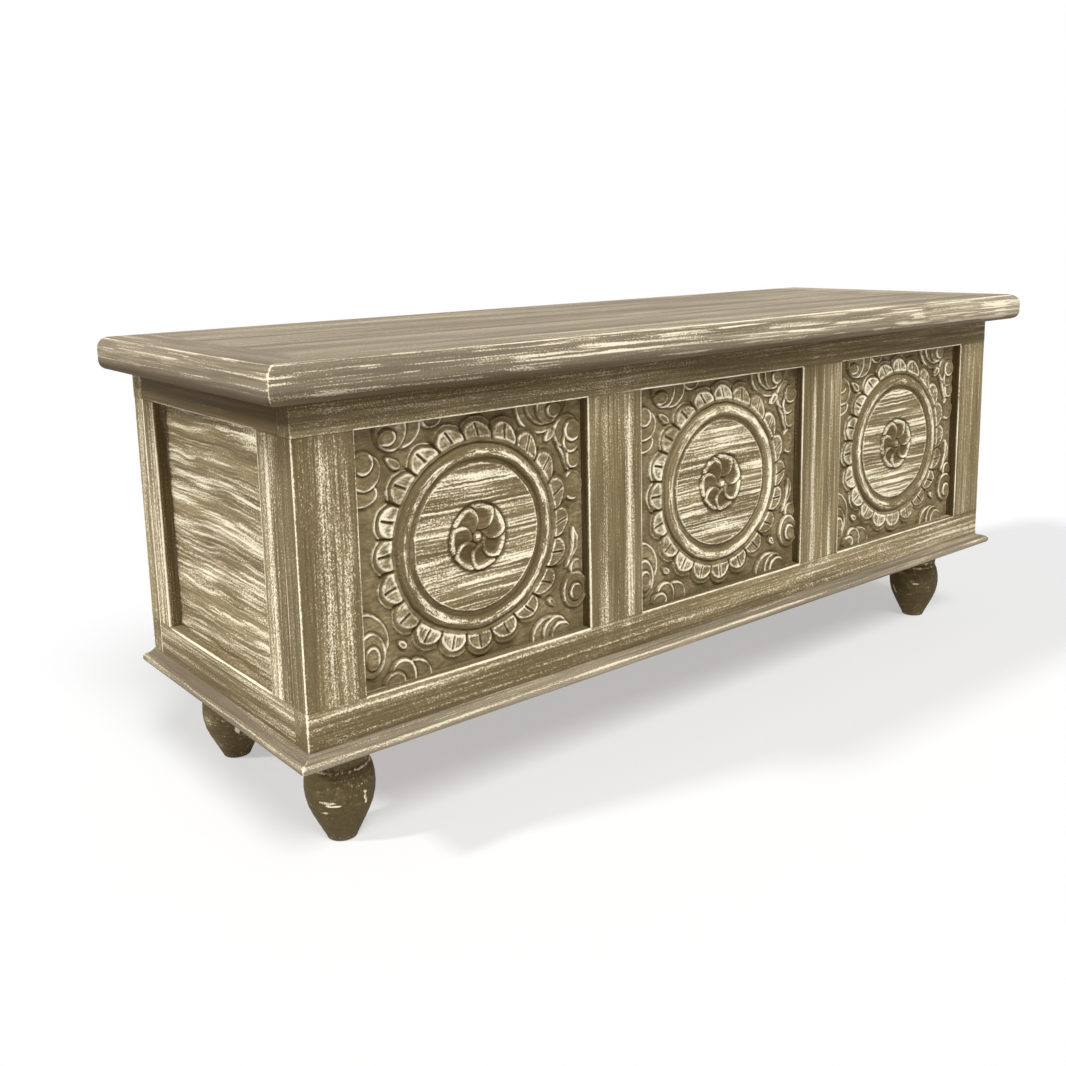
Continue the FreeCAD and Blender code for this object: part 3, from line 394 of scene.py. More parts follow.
# %% [markdown]
# ## Boards
# Rails, stiles, planks and battens are all sawn boards with their arrises eased by hand. Such a
# board is a block whose surface is a lattice, close-meshed along the arrises. Each lattice point is
# drawn onto a rounded block: the nearest point of the block's core, moved outwards by the radius.
# Where two boards meet flush, the easing is narrow, so that only a fine joint line shows.

# %% A block with eased arrises
ARRIS_LINES = np.array([0, 0.15, 0.4, 0.7, 1.0, 2.0, 4.0])


def lattice_lines(low, high, ease_low, ease_high, spacing):
    """Grid lines between two ends: a few in each easing, then evenly spaced ones."""
    first, last = low + ARRIS_LINES * ease_low, high - ARRIS_LINES[::-1] * ease_high
    count = max(int(np.ceil((last[0] - first[-1]) / spacing)), 1)
    return np.concatenate([first, np.linspace(first[-1], last[0], count + 1)[1:-1], last])


def block_surface(lines):
    """The lattice points on a block's surface and the quads between them, facing outwards."""
    counts = [len(line) for line in lines]
    numbers = np.arange(math.prod(counts)).reshape(counts)
    sides = []
    for axis in range(3):
        layers = numbers.transpose(axis, (axis + 1) % 3, (axis + 2) % 3)
        sides += [weave(layers[0]), weave(layers[-1].T)]
    kept, faces = np.unique(np.concatenate(sides), return_inverse=True)
    spots = np.unravel_index(kept, counts)
    points = np.stack([line[spot] for line, spot in zip(lines, spots)], axis=1)
    return points, faces.reshape(-1, 4)


def rounded(points, low, high, radius):
    """A block's points drawn onto its rounded form, and their directions outwards.

    radius holds each point's easing for the low and the high side of each axis. With n the nearest
    point of the core and a = (p - n) / r, a point p goes to p - (a - a / |a|) r.
    """
    reach = np.where(points < (low + high) / 2, radius[0], radius[1])
    away = (points - np.clip(points, low + radius[0], high - radius[1])) / reach
    outwards = away / np.linalg.norm(away, axis=1, keepdims=True)
    return points - (away - outwards) * reach, outwards


print(f"the smallest block has {len(block_surface([np.array([0, 1])] * 3)[1])} faces")

# %% [markdown]
# The brush leaves its own lines on a board. Most run along it, and some cross it where the brush
# overran from the next board. Near the lid a painted shade darkens the board. All of that goes
# into the board's marks, together with the arrises, where the paint is rubbed through.

# %% Lines and wear on a board
SKIN = 2 * MM
RUBBED_TO, PAINTED_FROM = 0.7 * MM, 1.9 * MM


def brush_lines(place, lines, steady, wander, u, v, seed):
    """The sum of all lines' strength times e^-((place - middle) / half width)^2, each unsteady."""
    return sum(
        strength * ridge(place, middle, half_width) * (steady + wander * drift(u, v, seed + number))
        for number, (middle, half_width, strength) in enumerate(lines))


def arris_wear(points, low, high, joined, along, through, open_here, end_rubbed):
    """How far the arrises are rubbed, from 0 to 1: all up to 0.7 mm from them, none from 1.9 mm on.

    A point's second smallest way to a free side is its way to the nearest arris.
    """
    far = (high - low).max()
    to_sides = np.minimum(np.where(joined[0], far, points - low),
                          np.where(joined[1], far, high - points))
    near_arris = ease(PAINTED_FROM, RUBBED_TO, np.sort(to_sides, axis=1)[:, 1])
    at_end = end_rubbed * (to_sides[:, along] < SKIN) * (to_sides[:, through] < SKIN)
    return near_arris * np.where(open_here & (to_sides[:, along] > 3 * MM), 1, at_end)


print(f"the brush's lines keep to the outer {SKIN / MM:.0f} mm of a board")


# %% A board
FLUSH_EASING = 0.25
TENON = 7.5 * MM
WALL_TOP, WALL_DARK = 1.2 * MM, 3.2 * MM
COLUMN_WANDER, COLUMN_FADE = 0.8 * MM, 28 * MM
ALONG_STEP, CROSSING_STEP, WIDTH_STEP, THICKNESS_STEP = 12 * MM, 3 * MM, 2.5 * MM, 6 * MM
EVERYWHERE = ((-1e9, 1e9),)


def box_of(node):
    """The low and the high corner of a node's box, as arrays that may be changed."""
    return [np.array(corner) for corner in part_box(node)]


def board(node, along, flush, outside, worn, seed, body="case", tenons=False, arris=1.2, waves=0.25,
          rubbed=0.85, end_rubbed=1.0, columns=(), edge_columns=(), crossings=(), openings=EVERYWHERE,
          lid_shade=(30, 0), side_lid_shade=None, walls=0.8, unpainted=False, material=painted):
    """A board in a node's place, without the tenons at its ends. along is the axis of its grain.

    flush names the sides that meet another board, such as "x+ z-", and outside the painted ones,
    the face first. worn is the brushing all over, and rubbed what the arrises add, within the
    openings only, with end_rubbed of it at the board's ends. A column is a pale line along the
    board: its place from 0 to 1 across the face, its half width in mm and its strength. A crossing
    is one across it, with its place in mm. lid_shade says how far down, in mm, and how strongly a
    painted shade under the lid darkens the face, side_lid_shade says it for the other sides, and
    walls says how strongly painted shade darkens the sides that look into the openings.
    """
    low, high = box_of(node)
    if tenons:
        low[2] += TENON
        high[2] -= TENON
    size = high - low
    joined = np.zeros((2, 3), bool)
    for side in flush.split():
        joined[int(side[1] == "+"), "xyz".index(side[0])] = True
    radius = np.where(joined, FLUSH_EASING, arris) * MM
    others = [axis for axis in range(3) if axis != along]
    through = "xyz".index(outside[0]) if outside else min(others, key=lambda axis: size[axis])
    across = 3 - along - through
    steps = {along: CROSSING_STEP if crossings else ALONG_STEP, across: WIDTH_STEP,
             through: THICKNESS_STEP}
    points, faces = block_surface([
        lattice_lines(low[axis], high[axis], *radius[:, axis], steps[axis]) for axis in range(3)])

    # The shape: rounded arrises, and shallow hollows that a hand plane leaves.
    along_mm = points[:, along] / MM
    open_here = np.any([(along_mm > start) & (along_mm < end) for start, end in openings], axis=0)
    radius = np.repeat(radius[:, None, :], len(points), axis=1)
    radius[:, ~open_here, across] = FLUSH_EASING * MM
    formed, outwards = rounded(points, low, high, radius)
    length = points[:, along] * 6 + seed
    width = (points[:, across] + points[:, through]) * 22
    hollow = waves * MM * (0.5 + 0.5 * drift(length, width, seed))

    # The wear: arrises, and the brush's lines on the face and on the side next to it.
    wear = arris_wear(points, low, high, joined, along, through, open_here, end_rubbed)
    pale = rubbed * wear * (0.9 + 0.4 * drift(length * 5, width, seed + 5))
    pale += 0.09 * drift(length * 0.7, width * 0.5, seed + 9)
    depths = [(high - points if side[1] == "+" else points - low)[:, "xyz".index(side[0])]
              for side in outside.split()] or [np.zeros(len(points))]
    depth = np.min(depths, axis=0)
    below_top = high[2] - points[:, 2]
    fading = 0.35 + 0.65 * ease(0, COLUMN_FADE, below_top) if along == 2 else 1
    for way, facing, lines in ((across, depths[0], columns), (through, depths[-1], edge_columns)):
        place = points[:, way] - low[way] + COLUMN_WANDER * drift(length * 0.8, width * 0, seed + 4)
        sized = [(middle * size[way], half_width * MM, strength)
                 for middle, half_width, strength in lines]
        pale += (facing < SKIN) * fading * brush_lines(
            place, sized, 0.85, 0.5, length * 0.9, width * 0, seed + 20)
    pale += (depths[0] < SKIN) * brush_lines(along_mm, crossings, 0.7, 0.6, width * 3, width, seed + 30)

    # The dark: painted shade below the lid, and on the walls of the openings.
    dark_face, dark_side = (strength * ease(reach_down * MM, 0, below_top)
                            for reach_down, strength in (lid_shade, side_lid_shade or lid_shade))
    painted_shade = np.maximum(walls * ease(WALL_TOP, WALL_DARK, depth),
                      np.where(depths[0] > 1 * MM, dark_side, dark_face))
    bare = ease(0.80, 0.90, depth / size[through]) if outside and not unpainted else unpainted
    grain = points[:, (along, across, through)] + seed * np.array([0.37, 0.11, 0.07])
    return piece(node + "_brushed", body, node, formed - outwards * hollow[:, None], [faces], material,
                 marks_of(grain, worn + pale, painted_shade, bare))


print(f"a board's tenon is {TENON / MM} mm long")

# %% [markdown]
# ## The frames of the case
# The rails run lengthwise and the stiles and muntins stand between them. Their tenons are hidden
# in the rails, so the visible board is shorter than its node by a tenon at each end.

# %% The front's rails, stiles and muntins
front_openings = ((-479, -210), (-134.5, 134.5), (210, 479))
overrun = [(middle, 7, 0.17) for middle in (-188, -156, 156, 188)] + [(-504, 12, 0.15)]
board("front_top_rail", 0, "z+ y+", "y- x- x+", 0.21, 11, openings=front_openings, end_rubbed=0.3,
      lid_shade=(34, 0.74), side_lid_shade=(115, 0.90), columns=((0.3, 3.0, 0.12), (0.7, 3.0, 0.14)),
      crossings=overrun)
board("front_bottom_rail", 0, "z- y+", "y- x- x+", 0.25, 12, openings=front_openings, walls=0.2,
      columns=((0.16, 1.6, 0.36), (0.38, 2.0, 0.40), (0.56, 1.2, 0.24), (0.78, 2.0, 0.40)),
      crossings=overrun)
left_stile_columns = ((0.46, 6.5, 0.44), (0.64, 3.0, 0.26), (0.80, 4.5, 0.36))
right_stile_columns = ((0.38, 2.4, 0.26), (0.56, 1.8, 0.20), (0.74, 1.6, 0.14))
muntin_columns = ((0.14, 1.8, 0.18), (0.31, 5.0, 0.48), (0.55, 2.0, 0.20), (0.75, 4.5, 0.48))
corner_columns = ((0.25, 1.6, 0.34), (0.62, 3.6, 0.30))
for upright, outside, worn, columns, seed in (
    ("left_stile", "y- x-", 0.235, left_stile_columns, 13),
    ("left_muntin", "y-", 0.235, muntin_columns, 14),
    ("right_muntin", "y-", 0.215, muntin_columns, 15),
    ("right_stile", "y- x+", 0.16, right_stile_columns, 16),
):
    board(f"front_{upright}", 2, "z+ z-", outside, worn, seed, tenons=True, columns=columns,
          edge_columns=corner_columns, lid_shade=(50, 0.06), side_lid_shade=(45, 0.5))
print(f"{len(pieces)} boards in the front's frame")

# %% The frames of the sides and the back
for side, outside, seed in (("left", "x-", 21), ("right", "x+", 31)):
    rail = {"along": 1, "outside": outside, "openings": ((-99.85, 142.15),)}
    stile = {"along": 2, "outside": outside, "worn": 0.30, "tenons": True, "lid_shade": (45, 0.5)}
    board(f"{side}_side_top_rail", flush="y+ y- z+", worn=0.12, seed=seed, lid_shade=(115, 0.90), **rail)
    board(f"{side}_side_bottom_rail", flush="y+ y- z-", worn=0.29, seed=seed + 1, walls=0.25,
          columns=((0.30, 2.2, 0.30), (0.62, 2.0, 0.26), (0.84, 1.4, 0.22)), **rail)
    board(f"{side}_side_front_stile", flush="z+ z- y-", seed=seed + 2,
          columns=((0.30, 2.4, 0.26), (0.55, 4.6, 0.46), (0.84, 1.8, 0.30)), **stile)
    board(f"{side}_side_back_stile", flush="z+ z- y+", seed=seed + 3,
          columns=((0.25, 2.0, 0.30), (0.60, 2.6, 0.34)), **stile)
board("back_bottom_rail", 0, "z-", "y+ x- x+", 0.22, 41)
for side, outside, seed in (("left", "y+ x-", 42), ("right", "y+ x+", 43)):
    board(f"back_{side}_stile", 2, "z+ z-", outside, 0.22, seed, tenons=True,
          edge_columns=corner_columns)
board("back_panel", 0, "", "y+", 0.2, 45, arris=0.6, waves=0.5)
print(f"{len(pieces)} boards in the case's frames")


# %% [markdown]
# ## The bottom, the planks and the battens
# The bottom boards and the battens were never painted. The lid's planks were, with the brush drawn
# along their whole length.

# %% Bottom boards, planks and battens
for seed, part in enumerate(("front", "middle", "back"), 51):
    board(f"{part}_bottom_board", 0, "x+ x-", "z+", 0.1, seed, arris=0.8, unpainted=True)
for seed, part in enumerate(("front", "middle", "back"), 61):
    board(f"lid_plank_{part}", 0, "x+ x-", "z+", 0.19, seed, body="lid", arris=0.5, waves=0.15,
          rubbed=0.1, material=lid_paint)
for seed, part in enumerate(("left", "middle", "right"), 71):
    board(f"lid_batten_{part}", 1, "y+ y-", "", 0.1, seed, body="lid", unpainted=True)
print(f"{len(pieces)} pieces so far")


# %% [markdown]
# ## Strips that turn a corner
# The lid's edging and the base moulding are strips with one section, mitred at the front corners.
# A section is a closed line of points, each with its distance outwards from the case and its
# height. Carried along a front strip, a point that lies further out also runs further to each
# side, by the same amount, so the strip's ends come out as mitres with no cutting.

# %% Sections
def arc(centre, radius, start, end, count):
    """Points on a circle's arc, from one angle to another in degrees."""
    angle = np.radians(np.linspace(start, end, count))
    return np.stack([centre[0] + radius * np.cos(angle), centre[1] + radius * np.sin(angle)], axis=1)


def closed_section(*parts):
    """One closed line of points from runs and arcs that meet, with their shared points once."""
    return MM * np.concatenate([part[:-1] if np.allclose(part[-1], following[0]) else part
                                for part, following in zip(parts, parts[1:] + parts[:1])])


print("a quarter of a 10 mm arc ends at", arc((0, 0), 10, 0, 90, 5)[-1].round(1))

# %% Mitres and caps
CASE_LOW, CASE_HIGH = np.array([-0.540, -0.16585]), np.array([0.540, 0.19215])
STRIP_STEP = 5 * MM
END_LINES = np.array([0, 0.4, 0.9, 1.5, 2.4, 3.6, 5.2]) * MM
WOBBLE = 0.3 * MM
CAP_SHARE = 0.94


def carried_along(side, length, out, rounding):
    """Where a section's points lie on their way along a side: x, y, the way and that to the corner.

    A front strip's point with distance o outwards runs from x = -(half length + o) to the same
    on the right. A side strip's point runs from the case's back to its front corner plus o. Near
    the corner the face is drawn back by R - (R^2 - (R - t)^2)^0.5, where t is the distance from it,
    so the mitre is rounded.
    """
    cut = rounding * (1 - math.sqrt(0.5))
    fine = END_LINES / length
    share = np.linspace(0, 1, int(length / STRIP_STEP) + 1)
    share = share[(share > fine[-1]) & (share < 1 - fine[-1])]
    share = np.concatenate([fine, share, 1 - fine[::-1]])[:, None]
    if side == "front":
        left, right = CASE_LOW[0] - out, CASE_HIGH[0] + out
        along = left + cut + share * (right - left - 2 * cut)
        from_corner = np.minimum(along - left, right - along)
    else:
        front = CASE_LOW[1] - out
        along = CASE_HIGH[1] + share * (front + cut - CASE_HIGH[1])
        from_corner = along - front
    bent = np.maximum(rounding**2 - np.maximum(rounding - from_corner, 0) ** 2, 0)
    drawn_back = out - (rounding - np.sqrt(bent))
    x, y = {"front": (along, CASE_LOW[1] - drawn_back), "left": (CASE_LOW[0] - drawn_back, along),
            "right": (CASE_HIGH[0] + drawn_back, along)}[side]
    return x, y, along, from_corner - cut


def end_caps(points, size):
    """Both ends of a strip: the points of a slightly smaller end face, that face and a band."""
    ends = np.array([np.arange(size), np.arange(len(points) - size, len(points))[::-1]])
    middles = points[ends].mean(axis=1, keepdims=True)
    inner = (middles + CAP_SHARE * (points[ends] - middles)).reshape(-1, 3)
    caps = len(points) + np.arange(2 * size).reshape(2, size)
    bands = [weave(np.stack(rings), around=True) for rings in zip(ends, caps)]
    return inner, caps, np.concatenate(bands)


print(f"a strip has a ring of points every {STRIP_STEP / MM:.0f} mm")


# %% A strip
def strip(node, body, section, crease, sunk, streaky, worn, seed, corner_round):
    """A section carried along the front, the left or the right of the case.

    crease, sunk and streaky give each section point its wear, its painted shade and its share of the
    long broken streaks. corner_round is the mitre's rounding in mm.
    """
    side = node.rsplit("_", 1)[1]
    low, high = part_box(node)
    axis = 0 if side == "front" else 1
    out, up = section.T
    rounding = corner_round * MM * np.clip((out - out.min()) / np.ptp(out), 0.05, 1)
    x, y, along, from_mitre = carried_along(side, high[axis] - low[axis], out, rounding)
    walked = np.concatenate([[0], np.cumsum(np.hypot(*np.diff(section, axis=0).T))])
    flat = np.broadcast_to(walked, along.shape)
    on_top = up > up.min() + 0.6 * np.ptp(up)
    wobble = WOBBLE * on_top * (0.5 + 0.5 * drift(along * 30 + seed, flat * 40, seed))
    points = np.stack([x, y, up - wobble], axis=2).reshape(-1, 3)
    inner, caps, bands = end_caps(points, len(section))

    rub = crease * (0.9 + 0.35 * drift(along * 17, flat * 18, seed + 7))
    rub += streaky * ease(0.28, 0.50, drift(along * 10 + seed, flat * 700, seed + 11))
    rub += 0.8 * streaky * ease(0.40, 0.60, drift(along * 25, flat * 560, seed + 12))
    mitre = ease(1.2 * MM, 0.2 * MM, from_mitre) * ease(-11 * MM, -8 * MM, out - out.max())
    rub += 0.7 * mitre * (0.75 + 0.5 * drift(flat * 190, flat * 10, seed))
    rub += 0.08 * drift(along * 9 + seed, flat * 30, seed + 3)
    shift = seed * np.array([0.31, 0, 0.05])
    marks = marks_of(np.stack([along, flat, np.zeros_like(along)], axis=2) + shift, worn + rub, sunk)
    cap_marks = marks_of(inner + shift, worn, 0.2)
    marks = {mark: np.concatenate([marks[mark], cap_marks[mark]]) for mark in marks}
    sheet = weave(np.arange(len(points)).reshape(along.shape), around=True)
    return piece(node + "_brushed", body, node, np.concatenate([points, inner]),
                 [np.concatenate([sheet, bands]), caps], lid_paint, marks)


# %% The lid's edging
LID_UNDER, LID_TOP = (corner[2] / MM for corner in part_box("lid_edging_front"))
OUT, HOLD = 34.0, 22.0
UPPER, LOWER = 12.0, 10.0
FLAT_WORN = 0.33

edging_section = closed_section(
    np.linspace((-HOLD, LID_UNDER), (OUT - LOWER, LID_UNDER), 8),
    arc((OUT - LOWER, LID_UNDER + LOWER), LOWER, -90, 0, 11),
    np.linspace((OUT, LID_UNDER + LOWER), (OUT, LID_TOP - UPPER), 20),
    arc((OUT - UPPER, LID_TOP - UPPER), UPPER, 0, 90, 34),
    np.linspace((OUT - UPPER, LID_TOP), (-HOLD, LID_TOP), 24),
    np.linspace((-HOLD, LID_TOP), (-HOLD, LID_UNDER), 3),
)
out_mm, up_mm = (edging_section / MM).T
from_nose = up_mm - (LID_TOP - UPPER)
edging_crease = (
    0.66 * ridge(np.hypot(out_mm - (OUT - 7.5), up_mm - (LID_TOP - 0.9)), 0, 1.1)
    + 0.20 * ridge(np.hypot(out_mm - (OUT - 12.5), up_mm - LID_TOP), 0, 1.0)
    + 0.24 * ridge(from_nose, 2.5, 2.2) * (out_mm > OUT - 6)
    - 0.14 * ease(-14, -20, from_nose) * (out_mm > 0)
)
edging_flat = (out_mm < OUT - 13) * (up_mm > LID_TOP - 0.1)
# Painted shade: the nose darkens towards its bottom, under the lid's edge.
edging_sunk = 0.7 * ease(-5, -18, from_nose)
edging_streaky = 0.44 * ease(OUT - 15, OUT - 10, out_mm) * ease(-20, -15, from_nose)
# The left edging, which the key light hits, gets more painted shade than the others.
for side, seed, worn, streaked, painted_side_shade in (
    ("front", 81, 0.23, 1.02, 0.05), ("left", 82, 0.04, 0.95, 0.26), ("right", 83, 0.22, 1.0, 0.06),
):
    strip(f"lid_edging_{side}", "lid", edging_section,
          edging_crease + (FLAT_WORN - worn) * edging_flat,
          edging_sunk + painted_side_shade * ease(OUT - 20, OUT - 8, out_mm),
          streaked * edging_streaky, worn, seed, corner_round=7)
print(f"the lid's edging is {LID_TOP - LID_UNDER:.1f} mm thick")

# %% The base moulding
MOULD_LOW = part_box("base_moulding_front")[0][2] / MM
NOSE_OUT, NOSE_ROUND, MOULD_HOLD, MOULD_HIGH, COVE = 14.0, 4.5, 16.0, 13.0, 12.0
nose_top = np.array([NOSE_OUT - NOSE_ROUND, MOULD_LOW + 2 * NOSE_ROUND])
case_foot = np.array([0.0, MOULD_LOW + MOULD_HIGH])
rise = case_foot - nose_top
normal = np.array([rise[1], -rise[0]]) / np.hypot(*rise)
cove_centre = (nose_top + case_foot) / 2 + normal * math.sqrt(COVE**2 - (np.hypot(*rise) / 2) ** 2)
cove_angles = [math.degrees(math.atan2(*(point - cove_centre)[::-1])) % 360
               for point in (nose_top, case_foot)]
mould_section = closed_section(
    np.linspace((-MOULD_HOLD, MOULD_LOW), (NOSE_OUT - NOSE_ROUND, MOULD_LOW), 6),
    arc((NOSE_OUT - NOSE_ROUND, MOULD_LOW + NOSE_ROUND), NOSE_ROUND, -90, 90, 13),
    arc(cove_centre, COVE, *cove_angles, 8),
    np.linspace(case_foot, (-MOULD_HOLD, MOULD_LOW + MOULD_HIGH), 4),
    np.linspace((-MOULD_HOLD, MOULD_LOW + MOULD_HIGH), (-MOULD_HOLD, MOULD_LOW), 3),
)
out_mm, up_mm = (mould_section / MM).T
mould_crease = 0.62 * ridge(np.hypot(out_mm - 12.5, up_mm - (MOULD_LOW + 7.6)), 0, 1.3)
# Painted shade: the moulding darkens towards its bottom, near the floor.
mould_sunk = 0.25 * ease(MOULD_LOW + 3, MOULD_LOW, up_mm)
# The left moulding, which the key light hits, gets more painted shade than the others.
for side, seed, creased, painted_side_shade in (
    ("front", 91, 1.0, 0.06), ("left", 92, 0.55, 0.24), ("right", 93, 1.0, 0.10),
):
    strip(f"base_moulding_{side}", "case", mould_section, creased * mould_crease, painted_side_shade + mould_sunk,
          0.14 * creased, 0.15, seed, corner_round=4)
print(f"the cove's arc runs from {cove_angles[0]:.0f} to {cove_angles[1]:.0f} degrees")

# %% [markdown]
# ## The turned feet
# A foot is a half outline turned about its own axis. On the lathe the gouge leaves faint rings,
# and the hand leaves the foot a little out of round, so the radius carries both.

# %% Turning a foot
# Radius and height in mm.
FOOT_OUTLINE = np.array([
    (0.0, 0.0), (12.0, 0.0), (14.6, 0.9), (15.5, 3.0), (18.5, 9.0), (23.0, 18.0), (27.5, 27.0),
    (31.2, 36.0), (33.6, 46.0), (34.3, 54.0), (33.8, 63.0), (31.9, 71.5), (30.0, 76.0),
    (28.9, 79.0), (29.8, 84.0), (31.4, 93.0), (33.0, 104.0), (33.0, 109.9), (0.0, 109.9),
])
WIDEST = 34.9
TURNS, OUTLINE_STEPS = 120, 170
NECK = 77
SOFTENING = np.array([1, 2, 3, 2, 1]) / 9
# Chips in the paint: angle round the foot, height, half width and half height in mm.
CHIPS = [(-76, 50, 2.4, 10), (-140, 49, 9, 1.8), (-130, 46, 8, 1.3), (-146, 38, 5, 1.2),
         (-66, 92, 4, 3), (-20, 60, 2.0, 5), (70, 40, 2.4, 9), (130, 55, 7.0, 1.5)]


def turned_form(seed):
    """A lathe form: radius r(z) times (1 + a small wave round the axis), with fine turning rings."""
    length = np.concatenate([[0], np.cumsum(np.hypot(*np.diff(FOOT_OUTLINE, axis=0).T))])
    steps = np.unique(np.concatenate([np.linspace(0, length[-1], OUTLINE_STEPS), length]))
    radius, height = (np.interp(steps, length, FOOT_OUTLINE[:, column]) for column in (0, 1))
    softened = (height > 4) & (height < 103)
    radius = np.where(softened, np.convolve(radius, SOFTENING, "same"), radius)
    angle = np.linspace(0, 2 * np.pi, TURNS, endpoint=False)
    out_of_round = 1 + 0.006 * np.sin(2 * angle + seed) + 0.004 * np.sin(3 * angle - seed)
    rings = 0.20 * np.sin(height * 1.9 + seed) * drift(height / 9, height * 0, seed)
    rings = rings * (radius > 14) * (radius < 33)
    wide = np.minimum((radius + rings)[:, None] * out_of_round, WIDEST)[1:-1]
    return wide, np.broadcast_to(height[1:-1, None], wide.shape), np.broadcast_to(angle, wide.shape)


def turned_foot(node, seed):
    """One foot, with the wear of its neck and toe, its chips and the streaks of the turning."""
    wide, tall, turn = turned_form(seed)
    middle = np.mean(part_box(node), axis=0)
    points = np.stack([middle[0] + wide * np.cos(turn) * MM, middle[1] + wide * np.sin(turn) * MM,
                       tall * MM], axis=2).reshape(-1, 3)
    faces = weave(np.arange(len(points)).reshape(wide.shape), around=True)
    caps = np.array([np.arange(TURNS)[::-1], np.arange(len(points) - TURNS, len(points))])
    chipped = np.zeros_like(tall)
    for way, up, half_width, half_height in CHIPS:
        from_way = np.angle(np.exp(1j * (turn - np.radians(way + 90 * (seed % 4)))))
        beside = from_way * wide + 0.25 * (tall - up)
        chip = 1 - (beside / half_width) ** 2 - ((tall - up) / half_height) ** 2
        chipped = np.maximum(chipped, ease(0, 0.5, chip + 0.5 * drift(turn * 9, tall / 2.5, seed + 3)))
    neck = ridge(tall, NECK, 1.5) * (0.55 + 0.5 * drift(turn * 2.2, tall / 30, seed))
    streaks = ease(0.15, 0.6, drift(turn * 2.5, tall / 1.5, seed + 9)) * ease(24, 34, tall)
    worn = 0.5 * neck + 0.25 * ridge(tall, 4, 2.0) + 0.70 * chipped + 0.22 * streaks
    # Painted shade in the crease under the neck.
    painted_shade = 0.5 * ridge(tall, NECK + 2.5, 1.4)
    grain = np.stack([np.sin(turn) * 0.16, tall * 0.5 * MM, np.cos(turn) * 0.02], axis=2)
    return piece(node + "_turned", "case", node, points, [faces, caps], foot_paint,
                 marks_of(grain + seed * np.array([1, 0.3, 0]), worn, painted_shade))


for seed, corner in enumerate(("front_left", "front_right", "back_left", "back_right"), 100):
    turned_foot(f"{corner}_foot", seed)
print("four feet turned")


# %% [markdown]
# ## The carved panels
# All the carving of a panel is one height over its face: h(a, c), with a to the right and c upwards
# from the middle of the medallion, in millimetres. Each form is a short formula, and the medallion
# lies over the leaves round it. A form's marks come from the same distances as its height: its
# rims and crests were rubbed by the brush, and the cuts and hollows beside them are darkened with
# painted shade.

# %% The border of lobes
LOBES = 20
LOBE_ROUND, LOBE_MIDDLE, LOBES_FOOT, LOBES_TIP = 22, 97.5, 97, 112


def laid_over(below, above, share):
    """The heights and marks of two layers, where the upper one covers the share."""
    return [under * (1 - share) + over * share for under, over in zip(below, above)]


def lobed_border(radius, angle):
    """The border of rounded lobes, each with a rim, a valley, an arch and two cheeks under it.

    A lobe's outline is a circle of 22 mm about a point 97.5 mm from the middle, so a point lies
    22 - (w^2 + (r - 97.5)^2)^0.5 inside it, where w is its distance from the lobe's middle line.
    The slits between the lobes lean, a little more on one side of the medallion than on the other.
    """
    lean = np.radians(2 + 2 * np.sin(angle + 1)) * np.clip((LOBES_TIP - radius) / 17.5, 0, 1)
    turn = (angle + lean) / (2 * np.pi) * LOBES + 0.5
    number = np.floor(turn)
    across = (turn - number) * 2 - 1
    pitch = np.pi / LOBES * radius
    sideways, beside = across * pitch, (1 - np.abs(across)) * pitch
    inside = LOBE_ROUND - np.hypot(sideways, radius - LOBE_MIDDLE)
    rim, arch = ridge(inside, 1.3, 0.95), ridge(inside, 7.2, 0.9)
    to_side = np.minimum(np.abs(sideways), beside)
    to_border = np.minimum(to_side, np.minimum(inside - 6.0, radius - 96.6))
    height = np.where(inside > 6.2, 3.1 + 1.2 * ridge(to_border, 1.5, 0.95), 2.2)
    height = np.maximum(height, np.maximum(4.5 * rim, 4.4 * arch))
    between = ease(2.0, 0.7, beside) * ease(94.5, 96.5, radius)
    split = ease(1.9, 0.6, np.abs(sideways)) * ease(97.5, 99, radius) * ease(7.2, 8.2, inside)
    height = height - 2.4 * between - 1.8 * split
    height = np.where(radius < LOBES_FOOT, 3.4 - 2.2 * between, height)
    on_lobe = ease(-0.5, 0.5, inside) * ease(92, 94, radius)

    # Lobes on the side the light comes from get paler rims and cheeks, and those on the other side
    # darker ones: painted highlight and painted shade.
    lit_side = 0.5 + 0.5 * np.cos(angle - 2.9)
    dished = (0.64 - 0.30 * lit_side) * ease(1.4 + lit_side, 3.2 + lit_side, to_border)
    strokes = 0.5 + 0.5 * np.cos(sideways * 1.75 + 2.2 * number)
    spared = (0.32 - 0.20 * lit_side) * strokes + 0.08 * (0.5 + 0.5 * np.sin(2.4 * number + 1))
    pale = np.maximum((0.12 + 0.83 * lit_side**2) * rim * (inside > 0), 0.55 * arch)
    pale = np.maximum(pale, ease(5.6, 6.6, inside) * (0.96 - dished - spared))
    pale = np.where(radius < 96.8, 0.16, pale) * (1 - np.maximum(between, 0.8 * split))
    # Painted shade in the gaps between the lobes, in the slits and in the valley inside the rim.
    dark = np.maximum(0.85 * between, 0.8 * split) + 0.6 * ridge(inside, 3.8, 1.3)
    return (height * on_lobe, pale, dark), on_lobe


print(f"a lobe is {2 * math.pi * LOBE_MIDDLE / LOBES:.1f} mm wide")

# %% The ring, the disc and the rosette
RING, RING_HALF, RING_GRAIN = 84, 6.2, 7
BAND_EDGE, DISC_EDGE, INSIDE_TRENCH = 90, 72.8, 73
RAISED, TRENCH_FLOOR = 3.4, 1.5


